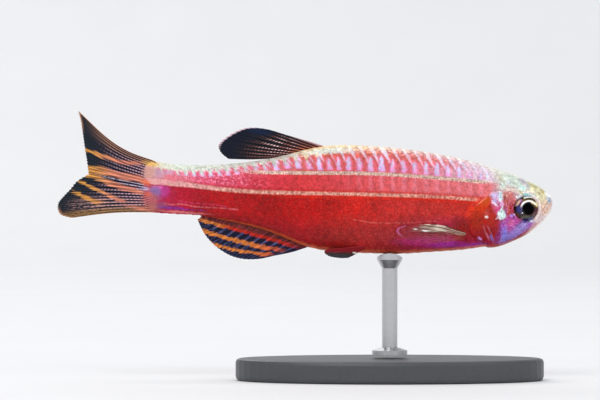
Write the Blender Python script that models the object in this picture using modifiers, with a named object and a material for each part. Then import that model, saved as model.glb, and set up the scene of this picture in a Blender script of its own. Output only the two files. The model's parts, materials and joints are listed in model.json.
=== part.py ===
"""Zebra danio of the fluorescent red strain, swimming: a life-size display model on a small stand.

The fish looks along +X with its back up (+Z), so its right side faces -Y. The origin is the centre of
the stand's underside. Sizes of the fish are worked out from its own datum: x runs forward from the tail
fin's root, and z runs up from the level of the snout's tip. The last step sets that datum over the stand.
"""
import math

import bmesh
import bpy
import numpy as np
from mathutils import Vector

MM = 0.001

# Driving dimensions
STANDARD_LENGTH = 36.9 * MM
GAP = 0.30 * MM
EYE_GAP = 0.25 * MM
AXIS_HEIGHT = 16.1 * MM
ROD_STATION = 22.1 * MM

# The tail's swimming curve
SWAY_START = 19.0 * MM
SWAY_AT_ROOT = 0.55 * MM
LOBE_TWIST = 0.10

# Sections of the body, from the tail fin's root to the snout: (x, back, belly, half width, widest
# height as a share of the depth), in mm for a fish of the standard length
SECTIONS = (
    (0.00, 1.54, 1.54, 0.00, 0.50),
    (0.14, 3.85, -0.78, 0.40, 0.50),
    (0.90, 3.74, -0.91, 0.56, 0.50),
    (2.60, 3.53, -1.01, 0.80, 0.50),
    (4.90, 3.48, -1.15, 1.02, 0.51),
    (6.80, 3.53, -1.52, 1.18, 0.52),
    (8.60, 3.68, -1.90, 1.36, 0.53),
    (10.60, 3.94, -2.42, 1.56, 0.55),
    (12.50, 4.34, -3.15, 1.78, 0.56),
    (14.40, 4.86, -3.92, 2.02, 0.56),
    (16.20, 5.18, -4.33, 2.22, 0.56),
    (18.10, 5.27, -4.49, 2.38, 0.56),
    (20.30, 5.21, -4.58, 2.52, 0.56),
    (23.00, 4.98, -4.63, 2.62, 0.56),
    (25.70, 4.60, -4.47, 2.66, 0.56),
    (28.40, 4.07, -4.29, 2.63, 0.56),
    (30.30, 3.57, -4.05, 2.54, 0.56),
    (31.80, 3.09, -3.93, 2.42, 0.55),
    (33.16, 2.65, -3.51, 2.20, 0.54),
    (34.43, 2.11, -2.91, 1.90, 0.52),
    (35.50, 1.56, -2.17, 1.52, 0.50),
    (36.25, 1.03, -1.38, 1.10, 0.48),
    (36.72, 0.60, -0.74, 0.64, 0.46),
    (36.90, 0.00, 0.00, 0.00, 0.46),
)
SECTION_FULLNESS_ABOVE = 2.05
SECTION_FULLNESS_BELOW = 2.15
BODY_RINGS = 84
BODY_SIDES = 36

# Rear edge of the gill covers, top to bottom, and their front edge, bottom to top, as (x, z) in mm
GILL_REAR_EDGE = ((31.40, 1.12), (30.55, 0.48), (29.75, -0.36), (29.28, -1.27), (29.15, -2.10), (29.42, -2.85),
                  (30.10, -3.42))
GILL_FRONT_EDGE = ((31.20, -3.50), (32.05, -2.95), (32.40, -1.80), (32.45, -0.50), (32.15, 0.60))
GILL_COVER_DEPTH = 0.50 * MM
GILL_COVER_BULGE = 0.10 * MM
GILL_CORE = 0.30 * MM

# The cut between trunk and tail: behind the dorsal fin's root and ahead of the anal fin's
VENT_CUT = ((11.25, 7.0), (15.15, -7.0))

# Head
EYE_CENTRE = (34.40 * MM, -0.50 * MM)
EYE_RADIUS = 1.12 * MM
EYE_HALF_DEPTH = 0.70 * MM
EYE_STAND_OUT = 0.26 * MM
MOUTH_FRONT = (36.78, 0.50)
MOUTH_CORNER = (36.02, -0.40)
JAW_HINGE = (35.78, -1.30)
JAW_THROAT = (35.10, -2.60)
LIP_HEIGHT = 0.09 * MM
LIP_SPREAD = 0.24 * MM
NOSTRIL_AT = (35.62 * MM, 0.84 * MM)
NOSTRIL_RADIUS = 0.17 * MM
NOSTRIL_DEPTH = 0.35 * MM

# Barbels: one hangs behind each corner of the mouth and lies back low on the jaw, as (x, z) in mm
BARBEL_LINE = ((35.50, -1.52), (34.85, -2.10), (33.95, -2.66), (33.00, -3.06), (32.10, -3.36))
BARBEL_ROOT_RADIUS = 0.25 * MM
BARBEL_TIP_SHARE = 0.45

# Fins: thickness at the root, at the middle and at the edge, and the height of a ray above its membrane
FIN_ROOT_THICKNESS = 0.66 * MM
TAIL_ROOT_THICKNESS = 0.86 * MM
FIN_MIDDLE_THICKNESS = 0.50 * MM
FIN_EDGE_THICKNESS = 0.30 * MM
RAY_HEIGHT = 0.12 * MM

# Stand
BASE_LENGTH = 28.0 * MM
BASE_WIDTH = 15.0 * MM
BASE_HEIGHT = 2.0 * MM
BASE_EDGE = 0.35 * MM
ROD_RADIUS = 0.70 * MM
COLLAR_RADIUS = 1.60 * MM
COLLAR_HEIGHT = 0.70 * MM
CUP_RADIUS = 1.15 * MM
CUP_HEIGHT = 1.30 * MM

# Colours as (red, green, blue), roughness, metallic
FINISHES = {
    "red_flesh": ((0.78, 0.05, 0.06), 0.35, 0.0),
    "pale_head": ((0.80, 0.62, 0.55), 0.35, 0.0),
    "violet_cover": ((0.62, 0.22, 0.45), 0.25, 0.2),
    "dark_eye": ((0.05, 0.04, 0.05), 0.05, 0.0),
    "blue_fin": ((0.10, 0.12, 0.20), 0.40, 0.0),
    "clear_fin": ((0.70, 0.50, 0.42), 0.40, 0.0),
    "charcoal_base": ((0.05, 0.05, 0.055), 0.45, 0.0),
    "steel_rod": ((0.62, 0.62, 0.63), 0.25, 1.0),
}


def clear_scene():
    """Removes every object of the startup scene."""
    for obj in list(bpy.data.objects):
        bpy.data.objects.remove(obj)


def collection(name):
    """A new collection in the scene."""
    made = bpy.data.collections.new(name)
    bpy.context.scene.collection.children.link(made)
    return made


def finish(name):
    """The named material, made once."""
    found = bpy.data.materials.get(name)
    if found:
        return found
    colour, roughness, metallic = FINISHES[name]
    made = bpy.data.materials.new(name)
    made.use_nodes = True
    shader = made.node_tree.nodes["Principled BSDF"]
    shader.inputs["Base Color"].default_value = (*colour, 1.0)
    shader.inputs["Roughness"].default_value = roughness
    shader.inputs["Metallic"].default_value = metallic
    return made


def object_from(bm, name, home, finish_name=None):
    """An object made from a bmesh, in one collection, with its material."""
    mesh = bpy.data.meshes.new(name)
    bm.normal_update()
    bm.to_mesh(mesh)
    bm.free()
    obj = bpy.data.objects.new(name, mesh)
    home.objects.link(obj)
    if finish_name:
        mesh.materials.append(finish(finish_name))
    return obj


def smooth(knots, values, at):
    """Cubic curve through the values: each knot's slope is taken from its two neighbours."""
    knots = np.asarray(knots, float)
    values = np.asarray(values, float)
    at = np.asarray(at, float)
    slopes = np.gradient(values, knots, axis=0)
    left = np.clip(np.searchsorted(knots, at, side="right") - 1, 0, len(knots) - 2)
    step = knots[left + 1] - knots[left]
    t = np.clip((at - knots[left]) / step, 0.0, 1.0)
    if values.ndim > 1:
        step = step[..., None]
        t = t[..., None]
    start = (1 + 2 * t) * (1 - t) ** 2 * values[left] + t * (1 - t) ** 2 * step * slopes[left]
    end = t * t * (3 - 2 * t) * values[left + 1] + t * t * (t - 1) * step * slopes[left + 1]
    return start + end


def through(points, share):
    """A point, or several, at a share from 0 to 1 along a smooth line through the points."""
    return smooth(np.linspace(0, 1, len(points)), points, share)


def offset_path(points, distance):
    """The line moved sideways by a distance, to the left of its direction."""
    points = np.asarray(points, float)
    along = np.gradient(points, axis=0)
    along /= np.linalg.norm(along, axis=1)[:, None]
    left = np.stack([-along[:, 1], along[:, 0]], axis=1)
    return points + distance * left


def section(share):
    """Rows of (x, back, belly, half width, widest share) at shares 0 to 1 of the way from tail to snout."""
    rows = np.array(SECTIONS)
    rows[:, :4] *= STANDARD_LENGTH / rows[-1, 0]
    return through(rows, share)


DENSE_SHARES = np.linspace(0, 1, 1200)
DENSE_SECTIONS = section(DENSE_SHARES)


def section_at(x):
    """Back height, belly height, half width and widest height of the body at a distance x."""
    dense = DENSE_SECTIONS
    back, belly, half, share = (np.interp(x, dense[:, 0], dense[:, i]) for i in range(1, 5))
    return back, belly, half, belly + share * (back - belly)


def flank(x, z):
    """Half width of the body's surface at a point of the side view: the superellipse solved for y."""
    back, belly, half, widest = section_at(x)
    above = z >= widest
    reach = np.where(above, back - widest, widest - belly)
    power = np.where(above, SECTION_FULLNESS_ABOVE, SECTION_FULLNESS_BELOW)
    rise = np.clip(np.abs(z - widest) / np.maximum(reach, 1e-9), 0, 1)
    return half * (1 - rise**power) ** (1 / power)


def underside(x, y):
    """Height of the body's lower surface at a distance y from the middle: the superellipse solved for z."""
    _, belly, half, widest = section_at(x)
    across = np.clip(np.abs(y) / half, 0, 1)
    return widest - (widest - belly) * (1 - across**SECTION_FULLNESS_BELOW) ** (1 / SECTION_FULLNESS_BELOW)


def beside(x, z, distance):
    """Half width at which a point stands off the body's surface by a distance.

    The surface leans by its slopes along x and z, so the step sideways is the distance times
    the square root of one plus the two slopes squared.
    """
    small = 0.02 * MM
    along = (flank(x + small, z) - flank(x - small, z)) / (2 * small)
    upward = (flank(x, z + small) - flank(x, z - small)) / (2 * small)
    return flank(x, z) + distance * np.sqrt(1 + along**2 + upward**2)


def mouth_distance(x, z):
    """Distance of a side-view point from the line of the mouth."""
    start = np.array(MOUTH_FRONT) * MM
    span = np.array(MOUTH_CORNER) * MM - start
    t = np.clip(((x - start[0]) * span[0] + (z - start[1]) * span[1]) / (span @ span), 0, 1)
    return np.hypot(x - start[0] - t * span[0], z - start[1] - t * span[1])


def body_points(share, turn):
    """Points of the body: each section is a superellipse, fuller below than above its widest height.

    share runs from the tail's end (0) to the snout (1), and turn is the angle round the section.
    """
    x, back, belly, half, widest_share = section(share).T
    widest = belly + widest_share * (back - belly)
    across, up = np.cos(turn), np.sin(turn)
    power = np.where(up > 0, SECTION_FULLNESS_ABOVE, SECTION_FULLNESS_BELOW)
    reach = np.where(up > 0, back - widest, widest - belly)
    y = half * np.sign(across) * np.abs(across) ** (2 / power)
    z = widest + reach * np.sign(up) * np.abs(up) ** (2 / power)
    return np.stack([x, y, z], axis=1)


def reshaped_sphere(name, home, sides, rings, place, finish_name=None):
    """A UV sphere whose points are moved by place(share from pole to pole, angle round the axis)."""
    bm = bmesh.new()
    bmesh.ops.create_uvsphere(bm, u_segments=sides, v_segments=rings, radius=1.0)
    unit = np.array([v.co for v in bm.verts])
    share = 1 - np.arccos(np.clip(unit[:, 2], -1, 1)) / math.pi
    turn = np.arctan2(unit[:, 1], unit[:, 0])
    for vert, co in zip(bm.verts, place(share, turn)):
        vert.co = co
    bmesh.ops.triangulate(bm, faces=bm.faces)
    bmesh.ops.recalc_face_normals(bm, faces=bm.faces)
    return object_from(bm, name, home, finish_name)


def whole_body(name, home):
    """The body before it is parted: one loft from the tail's end to the snout, with swollen lips."""
    body = reshaped_sphere(name, home, BODY_SIDES, BODY_RINGS, body_points)
    normals = [tuple(entry.vector) for entry in body.data.vertex_normals]
    for vert, normal in zip(body.data.vertices, normals):
        swelling = LIP_HEIGHT * math.exp(-((mouth_distance(vert.co.x, vert.co.z) / LIP_SPREAD) ** 2))
        vert.co += swelling * Vector(normal)
    return body


def mesh_from_curve(guide, name, home, finish_name=None):
    """The curve's own mesh, its caps welded, as an object that takes the curve's place."""
    home.objects.link(guide)
    bpy.context.view_layer.update()
    graph = bpy.context.evaluated_depsgraph_get()
    mesh = bpy.data.meshes.new_from_object(guide.evaluated_get(graph))
    mesh.transform(guide.matrix_world)
    bpy.data.objects.remove(guide)
    bm = bmesh.new()
    bm.from_mesh(mesh)
    bpy.data.meshes.remove(mesh)
    bmesh.ops.remove_doubles(bm, verts=bm.verts, dist=1e-6)
    bmesh.ops.triangulate(bm, faces=bm.faces)
    bmesh.ops.recalc_face_normals(bm, faces=bm.faces)
    return object_from(bm, name, home, finish_name)


def prism(name, home, outline):
    """A side-view outline, in metres, made a solid that reaches past both flanks."""
    curve = bpy.data.curves.new(name, "CURVE")
    curve.dimensions = "2D"
    curve.fill_mode = "BOTH"
    curve.extrude = 6 * MM
    spline = curve.splines.new("POLY")
    spline.points.add(len(outline) - 1)
    for point, (x, z) in zip(spline.points, outline):
        point.co = (x, z, 0, 1)
    spline.use_cyclic_u = True
    flat = bpy.data.objects.new(name + "_outline", curve)
    flat.rotation_euler = (math.pi / 2, 0, 0)
    return mesh_from_curve(flat, name, home)


def largest_surface(mesh):
    """Keeps only the closed surface with the most points."""
    bm = bmesh.new()
    bm.from_mesh(mesh)
    bmesh.ops.remove_doubles(bm, verts=bm.verts, dist=1e-7)
    unseen = set(bm.verts)
    largest = set()
    while unseen:
        group = {unseen.pop()}
        edge_of_group = list(group)
        while edge_of_group:
            vert = edge_of_group.pop()
            fresh = {edge.other_vert(vert) for edge in vert.link_edges} & unseen
            unseen -= fresh
            group |= fresh
            edge_of_group.extend(fresh)
        largest = max(largest, group, key=len)
    bmesh.ops.delete(bm, geom=[v for v in bm.verts if v not in largest], context="VERTS")
    bm.to_mesh(mesh)
    bm.free()


def carved(name, home, stock, operations, finish_name):
    """A copy of the stock with each (operation, cutter) applied in turn."""
    obj = bpy.data.objects.new(name, stock.data.copy())
    home.objects.link(obj)
    for operation, cutter in operations:
        cut = obj.modifiers.new(cutter.name, "BOOLEAN")
        cut.operation = operation
        cut.object = cutter
    graph = bpy.context.evaluated_depsgraph_get()
    mesh = bpy.data.meshes.new_from_object(obj.evaluated_get(graph))
    obj.modifiers.clear()
    obj.data = mesh
    largest_surface(mesh)
    mesh.materials.clear()
    mesh.materials.append(finish(finish_name))
    return obj


def body_outlines():
    """Side-view outlines, in metres, that divide the body into tail, trunk, head and jaw."""
    far_back, far_front, far_up = -3 * MM, 42 * MM, 8 * MM
    rear_edge = through(np.array(GILL_REAR_EDGE) * MM, np.linspace(0, 1, 16))
    nape = np.array([[31.45, 8.00], [31.55, 3.20], [31.62, 1.90]]) * MM
    throat = np.array([[30.85, -4.00], [31.10, -8.00]]) * MM
    head_edge = np.vstack([nape, rear_edge, throat])
    trunk_edge = offset_path(head_edge, -GAP)
    vent = np.array(VENT_CUT) * MM
    trunk_end = offset_path(vent, GAP / 2)
    tail_end = offset_path(vent, -GAP / 2)
    jaw_edge = np.array([MOUTH_FRONT, MOUTH_CORNER, JAW_HINGE, JAW_THROAT]) * MM
    lead_in = jaw_edge[0] + 1.5 * (jaw_edge[0] - jaw_edge[1])
    lead_out = jaw_edge[-1] + 1.5 * (jaw_edge[-1] - jaw_edge[-2])
    jaw_edge = np.vstack([lead_in, jaw_edge, lead_out])
    jaw_front = np.array([[far_front, -8 * MM], [far_front, far_up]])
    return {
        "tail_stalk": np.vstack([tail_end, [[far_back, -8 * MM], [far_back, far_up]]]),
        "trunk": np.vstack([trunk_end[::-1], trunk_edge]),
        "head": np.vstack([head_edge, [[far_front, -8 * MM], [far_front, far_up]]]),
        "lower_jaw": np.vstack([offset_path(jaw_edge, GAP / 2), jaw_front]),
        "jaw_clearance": np.vstack([offset_path(jaw_edge, -GAP / 2), jaw_front]),
    }


def gill_cover_place(side, growth):
    """A placing function for a lens that follows the flank inside the gill cover's outline."""
    edge = np.vstack([GILL_REAR_EDGE, GILL_FRONT_EDGE]) * MM
    closed = np.vstack([edge, edge[:1]])
    centre = edge.mean(axis=0)
    outline = through(closed, np.linspace(0, 1, 97))[:-1]
    bearing = np.arctan2(outline[:, 1] - centre[1], outline[:, 0] - centre[0])
    order = np.argsort(bearing)
    bearing = bearing[order]
    radius = np.hypot(*(outline - centre).T)[order] + growth

    def place(share, turn):
        reach = np.sin(share * math.pi)
        outward = -np.cos(share * math.pi)
        rim = np.interp(turn, bearing, radius, period=2 * math.pi)
        x = centre[0] + reach * rim * np.cos(turn)
        z = centre[1] + reach * rim * np.sin(turn)
        level = np.sign(outward) * np.abs(outward) ** 0.4
        above = GILL_COVER_BULGE + (1.5 * MM if growth else 0)
        surface = flank(x, z)
        inner = np.maximum(surface - (GILL_COVER_DEPTH + growth), GILL_CORE + GAP - growth)
        outer = surface + above
        y = (outer + inner) / 2 + level * (outer - inner) / 2
        return np.stack([x, side * y, z], axis=1)

    return place


def eye_place(side, growth):
    """A placing function for an eyeball flattened from side to side."""
    depth = EYE_HALF_DEPTH + growth
    radius = EYE_RADIUS + growth
    surface = float(flank(*EYE_CENTRE))
    centre_y = side * (surface + EYE_STAND_OUT - EYE_HALF_DEPTH)

    def place(share, turn):
        reach = radius * np.sin(share * math.pi)
        x = EYE_CENTRE[0] + reach * np.cos(turn)
        z = EYE_CENTRE[1] + reach * np.sin(turn)
        y = centre_y - depth * np.cos(share * math.pi)
        return np.stack([x, y, z], axis=1)

    return place


def nostril_place(side):
    """A placing function for the cutter of one nostril's pit."""
    x, z = NOSTRIL_AT
    y = float(flank(x, z))

    def place(share, turn):
        reach = NOSTRIL_RADIUS * np.sin(share * math.pi)
        depth = -NOSTRIL_DEPTH * np.cos(share * math.pi)
        return np.stack([x + reach * np.cos(turn), side * y + depth, z + reach * np.sin(turn)], axis=1)

    return place


def build_body(parts, cutters):
    """Head, lower jaw, trunk and tail stalk, parted from one body by thin cuts."""
    body = whole_body("whole_body", cutters)
    shapes = {name: prism("cut_" + name, cutters, line) for name, line in body_outlines().items()}
    hollows = [shapes["jaw_clearance"]]
    for label, side in (("right", -1), ("left", 1)):
        hollows.append(reshaped_sphere("pocket_" + label, cutters, 32, 12, gill_cover_place(side, GAP)))
        hollows.append(reshaped_sphere("socket_" + label, cutters, 28, 14, eye_place(side, EYE_GAP)))
        hollows.append(reshaped_sphere("nostril_pit_" + label, cutters, 10, 6, nostril_place(side)))
    within = "INTERSECT"
    carved("tail_stalk", parts, body, [(within, shapes["tail_stalk"])], "red_flesh")
    carved("trunk", parts, body, [(within, shapes["trunk"])], "red_flesh")
    carved("lower_jaw", parts, body, [(within, shapes["lower_jaw"])], "pale_head")
    cuts = [(within, shapes["head"])] + [("DIFFERENCE", hollow) for hollow in hollows]
    carved("head", parts, body, cuts, "pale_head")
    for label, side in (("right", -1), ("left", 1)):
        reshaped_sphere("gill_cover_" + label, parts, 32, 12, gill_cover_place(side, 0.0), "violet_cover")
        reshaped_sphere("eye_" + label, parts, 28, 14, eye_place(side, 0.0), "dark_eye")


def fin(name, home, rays, steps, sheet, thicknesses, finish_name):
    """A fin as a sheet with its rays raised in its own surface, made thick from its middle.

    sheet(u, v) gives the middle surface: u runs across the rays and v from the root to the edge.
    Each ray is a crest between two valleys. Both faces share one set of triangles.
    """
    bm = bmesh.new()
    bmesh.ops.create_grid(bm, x_segments=2 * rays, y_segments=steps, size=0.5)
    unit = np.array([v.co for v in bm.verts])
    u, v = unit[:, 0] + 0.5, unit[:, 1] + 0.5
    for vert, co in zip(bm.verts, sheet(u, v)):
        vert.co = co
    bmesh.ops.triangulate(bm, faces=bm.faces, quad_method="FIXED")
    bmesh.ops.recalc_face_normals(bm, faces=bm.faces)
    obj = object_from(bm, name, home, finish_name)
    crest = np.abs(np.sin(u * rays * math.pi))
    membrane = smooth((0.0, 0.35, 1.0), thicknesses, v)
    thickness = membrane + RAY_HEIGHT * crest * (1 - 0.55 * v)
    most = float(thickness.max())
    group = obj.vertex_groups.new(name="thickness")
    for index, share in enumerate(thickness / most):
        group.add([index], float(share), "REPLACE")
    thicken = obj.modifiers.new("thickness", "SOLIDIFY")
    thicken.thickness = most
    thicken.offset = 0.0
    thicken.vertex_group = group.name
    thicken.use_rim = True
    return obj


def fan(root, edge, lift=0.0, sag=None):
    """A sheet whose rays run from a root line to an edge line, each bowed by lift at its middle.

    root and edge are lists of (x, z) or (x, y, z) in mm. sag, if given, is each ray's bow as a
    function of u, in mm along +Z.
    """
    root, edge = (np.array(line, float) * MM for line in (root, edge))

    def sheet(u, v):
        start, end = through(root, u), through(edge, u)
        points = start + (end - start) * v[:, None]
        bow = (4 * v * (1 - v)) ** 1.5
        rise = (lift if sag is None else sag(u)) * MM * bow
        if points.shape[1] == 2:
            points = np.stack([points[:, 0], np.zeros_like(u), points[:, 1]], axis=1)
        points[:, 2] += rise
        return points

    return sheet


def build_median_fins(parts):
    """The dorsal fin, the anal fin and the two lobes of the tail fin."""
    thin = (FIN_ROOT_THICKNESS, FIN_MIDDLE_THICKNESS, FIN_EDGE_THICKNESS)
    thick = (TAIL_ROOT_THICKNESS, FIN_MIDDLE_THICKNESS, FIN_EDGE_THICKNESS)
    gap = GAP / MM

    back_root = np.linspace(16.00, 12.10, 6)
    back = section_at(back_root * MM)[0] / MM + gap
    dorsal_edge = ((12.60, 6.22), (10.90, 6.72), (9.25, 6.86), (8.05, 6.50), (6.88, 5.76),
                   (6.50, 5.20), (6.74, 4.55), (7.40, 4.00))
    sheet = fan(np.stack([back_root, back], axis=1), dorsal_edge, sag=lambda u: 0.08 - 0.15 * u)
    fin("dorsal_fin", parts, 9, 8, sheet, thin, "blue_fin")

    belly_root = np.linspace(14.60, 5.10, 9)
    belly = section_at(belly_root * MM)[1] / MM - gap
    anal_edge = ((11.60, -4.80), (10.20, -5.10), (8.86, -5.12), (7.80, -4.88), (6.90, -4.42),
                 (6.00, -3.72), (5.30, -2.90), (4.90, -2.15), (4.62, -1.50))
    sheet = fan(np.stack([belly_root, belly], axis=1), anal_edge, lift=-0.10)
    fin("anal_fin", parts, 13, 6, sheet, thin, "blue_fin")

    half = gap / 2
    upper_root = ((-gap, 4.02), (-gap, 3.15), (-gap, 2.35), (-gap, 1.54 + half))
    upper_edge = ((-6.34, 8.44), (-6.08, 7.45), (-5.90, 6.25), (-5.72, 5.05), (-5.52, 3.85),
                  (-5.36, 2.62 + half))
    sheet = fan(upper_root, upper_edge, sag=lambda u: -0.50 * (1 - u) ** 1.5)
    fin("tail_fin_upper", parts, 9, 9, sheet, thick, "blue_fin")

    lower_root = ((-gap, 1.54 - half), (-gap, 0.80), (-gap, 0.00), (-gap, -0.90))
    lower_edge = ((-5.50, 2.62 - half), (-6.40, 2.00), (-7.08, 1.22), (-7.72, 0.55), (-8.14, 0.00),
                  (-8.18, -0.60), (-7.85, -1.10), (-6.95, -1.36))
    sheet = fan(lower_root, lower_edge, sag=lambda u: 0.05 + 0.12 * u)
    fin("tail_fin_lower", parts, 9, 9, sheet, thick, "blue_fin")


def build_paired_fins(parts):
    """Pectoral and pelvic fins, each laid back and held clear of the flank and belly."""
    thin = (FIN_ROOT_THICKNESS, FIN_MIDDLE_THICKNESS, FIN_EDGE_THICKNESS)
    clear = (GAP + FIN_ROOT_THICKNESS / 2) / MM
    for label, side in (("right", -1), ("left", 1)):
        root_x = np.linspace(28.60, 28.40, 4)
        root_z = np.linspace(-2.55, -3.25, 4)
        root_y = beside(root_x * MM, root_z * MM, clear * MM) / MM
        edge_x = np.array((23.30, 22.70, 22.60, 23.00, 23.90, 25.20))
        edge_z = np.array((-2.05, -2.28, -2.62, -3.02, -3.42, -3.75))
        edge_y = flank(edge_x * MM, edge_z * MM) / MM + np.linspace(1.35, 0.75, 6)
        root = np.stack([root_x, side * root_y, root_z], axis=1)
        edge = np.stack([edge_x, side * edge_y, edge_z], axis=1)
        sheet = fan(root, edge, sag=lambda u: 0.38 * (1 - u))
        fin("pectoral_fin_" + label, parts, 10, 7, sheet, thin, "clear_fin")

        root_x = np.linspace(19.75, 19.30, 3)
        root_y = np.linspace(1.30, 0.60, 3)
        root_z = underside(root_x * MM, root_y * MM) / MM - 1.15 * clear
        edge_x = np.array((16.45, 16.20, 16.60, 17.50, 18.20))
        edge_y = np.array((1.75, 1.60, 1.30, 0.95, 0.70))
        edge_z = np.array((-4.42, -4.66, -4.92, -5.06, -5.10))
        root = np.stack([root_x, side * root_y, root_z], axis=1)
        edge = np.stack([edge_x, side * edge_y, edge_z], axis=1)
        fin("pelvic_fin_" + label, parts, 7, 5, fan(root, edge, lift=-0.05), thin, "clear_fin")


def build_barbels(parts):
    """One tapered barbel on each side, lying back along the jaw just off the skin."""
    for label, side in (("right", -1), ("left", 1)):
        x, z = through(np.array(BARBEL_LINE) * MM, np.linspace(0, 1, 9)).T
        taper = np.linspace(1.0, BARBEL_TIP_SHARE, 9)
        y = side * beside(x, z, GAP + BARBEL_ROOT_RADIUS * taper)
        curve = bpy.data.curves.new("barbel_" + label, "CURVE")
        curve.dimensions = "3D"
        curve.bevel_depth = BARBEL_ROOT_RADIUS
        curve.bevel_resolution = 2
        curve.use_fill_caps = True
        spline = curve.splines.new("POLY")
        spline.points.add(len(x) - 1)
        for point, co, share in zip(spline.points, zip(x, y, z), taper):
            point.co = (*co, 1)
            point.radius = share
        guide = bpy.data.objects.new("barbel_line", curve)
        mesh_from_curve(guide, "barbel_" + label, parts, "clear_fin")


def sway(parts):
    """Bends the fish's tail sideways, growing with the square of the distance behind SWAY_START."""
    for obj in parts:
        for vert in obj.data.vertices:
            behind = max(0.0, (SWAY_START - vert.co.x) / SWAY_START)
            vert.co.y += SWAY_AT_ROOT * behind**2
            if vert.co.x < 0:
                share = vert.co.x / (-8 * MM)
                vert.co.y += LOBE_TWIST * share**2 * (vert.co.z - 1.5 * MM)


def build_stand(parts, cutters):
    """An oval base and one short rod whose cup is cut to the belly."""
    bm = bmesh.new()
    bmesh.ops.create_cone(bm, cap_ends=True, segments=56, radius1=0.5, radius2=0.5, depth=1.0)
    for vert in bm.verts:
        vert.co = Vector((vert.co.x * BASE_LENGTH, vert.co.y * BASE_WIDTH, (vert.co.z + 0.5) * BASE_HEIGHT))
    base = object_from(bm, "stand_base", parts, "charcoal_base")
    edge = base.modifiers.new("edge", "BEVEL")
    edge.width = BASE_EDGE
    edge.segments = 2
    edge.limit_method = "ANGLE"

    foot = BASE_HEIGHT + GAP
    belly = AXIS_HEIGHT + float(section_at(ROD_STATION)[1])
    top = belly + 0.3 * MM
    profile = ((0, top), (CUP_RADIUS, top), (CUP_RADIUS, belly - 0.4 * CUP_HEIGHT),
               (ROD_RADIUS, belly - CUP_HEIGHT), (ROD_RADIUS, foot + COLLAR_HEIGHT),
               (COLLAR_RADIUS, foot + 0.6 * COLLAR_HEIGHT), (COLLAR_RADIUS, foot), (0, foot))
    bm = bmesh.new()
    line = [bm.verts.new((radius, 0, height)) for radius, height in profile]
    for lower, upper in zip(line, line[1:]):
        bm.edges.new((lower, upper))
    rod = object_from(bm, "stand_rod", parts, "steel_rod")
    turn = rod.modifiers.new("turn", "SCREW")
    turn.steps = turn.render_steps = 28
    turn.use_merge_vertices = True
    turn.merge_threshold = 0.00001

    belly_cutter = whole_body("belly_cutter", cutters)
    for vert in belly_cutter.data.vertices:
        grown = vert.co.copy()
        grown.y *= 1 + GAP / (2.6 * MM)
        grown.z -= GAP * min(1.0, max(0.0, -grown.z / (2 * MM)))
        vert.co = grown + Vector((-ROD_STATION, 0, AXIS_HEIGHT))
    cut = rod.modifiers.new("belly", "BOOLEAN")
    cut.operation = "DIFFERENCE"
    cut.object = belly_cutter


def main():
    """Builds the fish on its datum, bends its tail, and sets it over the stand."""
    clear_scene()
    parts = collection("Zebra danio")
    cutters = collection("Cutters")
    build_body(parts, cutters)
    build_median_fins(parts)
    build_paired_fins(parts)
    build_barbels(parts)
    fish = list(parts.objects)
    sway(fish)
    datum = bpy.data.objects.new("fish_datum", None)
    datum.location = (-ROD_STATION, 0, AXIS_HEIGHT)
    parts.objects.link(datum)
    for obj in fish:
        obj.parent = datum
    build_stand(parts, cutters)
    for obj in cutters.objects:
        obj.hide_render = True
        obj.display_type = "WIRE"
    for obj in parts.objects:
        if obj.type == "MESH":
            obj.data.shade_smooth()


main()
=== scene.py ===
# %% [markdown]
# # A zebra danio on its stand
# A zebra danio is a slim stream fish as long as a thumb. This one is of the fluorescent red strain: red
# flanks, a pink back, two cream stripes and dark blue fins with orange bands. The lesson dresses the plain
# solids of the model: one skin over the body, scales, eyes, thin fins with their rays, and paint for each.
# Everything here is worked out in millimetres on the fish's own datum, as a modelmaker would draw it.

# %% Load the solids and keep their size
import json
import math

import bpy
import numpy as np
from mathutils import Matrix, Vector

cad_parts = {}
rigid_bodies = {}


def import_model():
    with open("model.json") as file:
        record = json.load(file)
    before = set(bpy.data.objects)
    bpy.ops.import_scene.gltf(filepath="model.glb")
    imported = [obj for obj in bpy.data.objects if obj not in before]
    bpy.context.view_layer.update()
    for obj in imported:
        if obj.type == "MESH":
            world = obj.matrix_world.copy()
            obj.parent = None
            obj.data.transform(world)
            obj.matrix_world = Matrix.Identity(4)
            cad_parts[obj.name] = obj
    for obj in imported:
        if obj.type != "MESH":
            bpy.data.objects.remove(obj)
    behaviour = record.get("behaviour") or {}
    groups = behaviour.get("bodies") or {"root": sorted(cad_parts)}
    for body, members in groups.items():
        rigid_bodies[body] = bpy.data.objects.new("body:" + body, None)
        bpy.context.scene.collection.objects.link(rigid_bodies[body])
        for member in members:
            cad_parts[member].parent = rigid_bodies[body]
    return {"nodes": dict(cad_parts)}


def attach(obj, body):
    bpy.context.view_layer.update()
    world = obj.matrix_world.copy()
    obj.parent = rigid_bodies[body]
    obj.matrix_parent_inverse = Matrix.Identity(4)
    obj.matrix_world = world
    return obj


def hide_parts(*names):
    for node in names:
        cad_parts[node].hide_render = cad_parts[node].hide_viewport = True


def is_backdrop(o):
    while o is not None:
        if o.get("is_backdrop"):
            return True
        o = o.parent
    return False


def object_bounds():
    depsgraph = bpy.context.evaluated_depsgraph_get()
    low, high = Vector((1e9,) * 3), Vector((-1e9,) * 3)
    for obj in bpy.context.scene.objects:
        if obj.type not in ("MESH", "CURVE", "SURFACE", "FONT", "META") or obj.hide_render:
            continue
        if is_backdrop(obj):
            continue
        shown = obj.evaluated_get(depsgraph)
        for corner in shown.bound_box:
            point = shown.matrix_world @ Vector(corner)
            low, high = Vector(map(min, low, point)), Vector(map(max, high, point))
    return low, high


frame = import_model()
solid_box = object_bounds()
MM = 0.001
print("loaded", len(frame["nodes"]), "solids")

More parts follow.
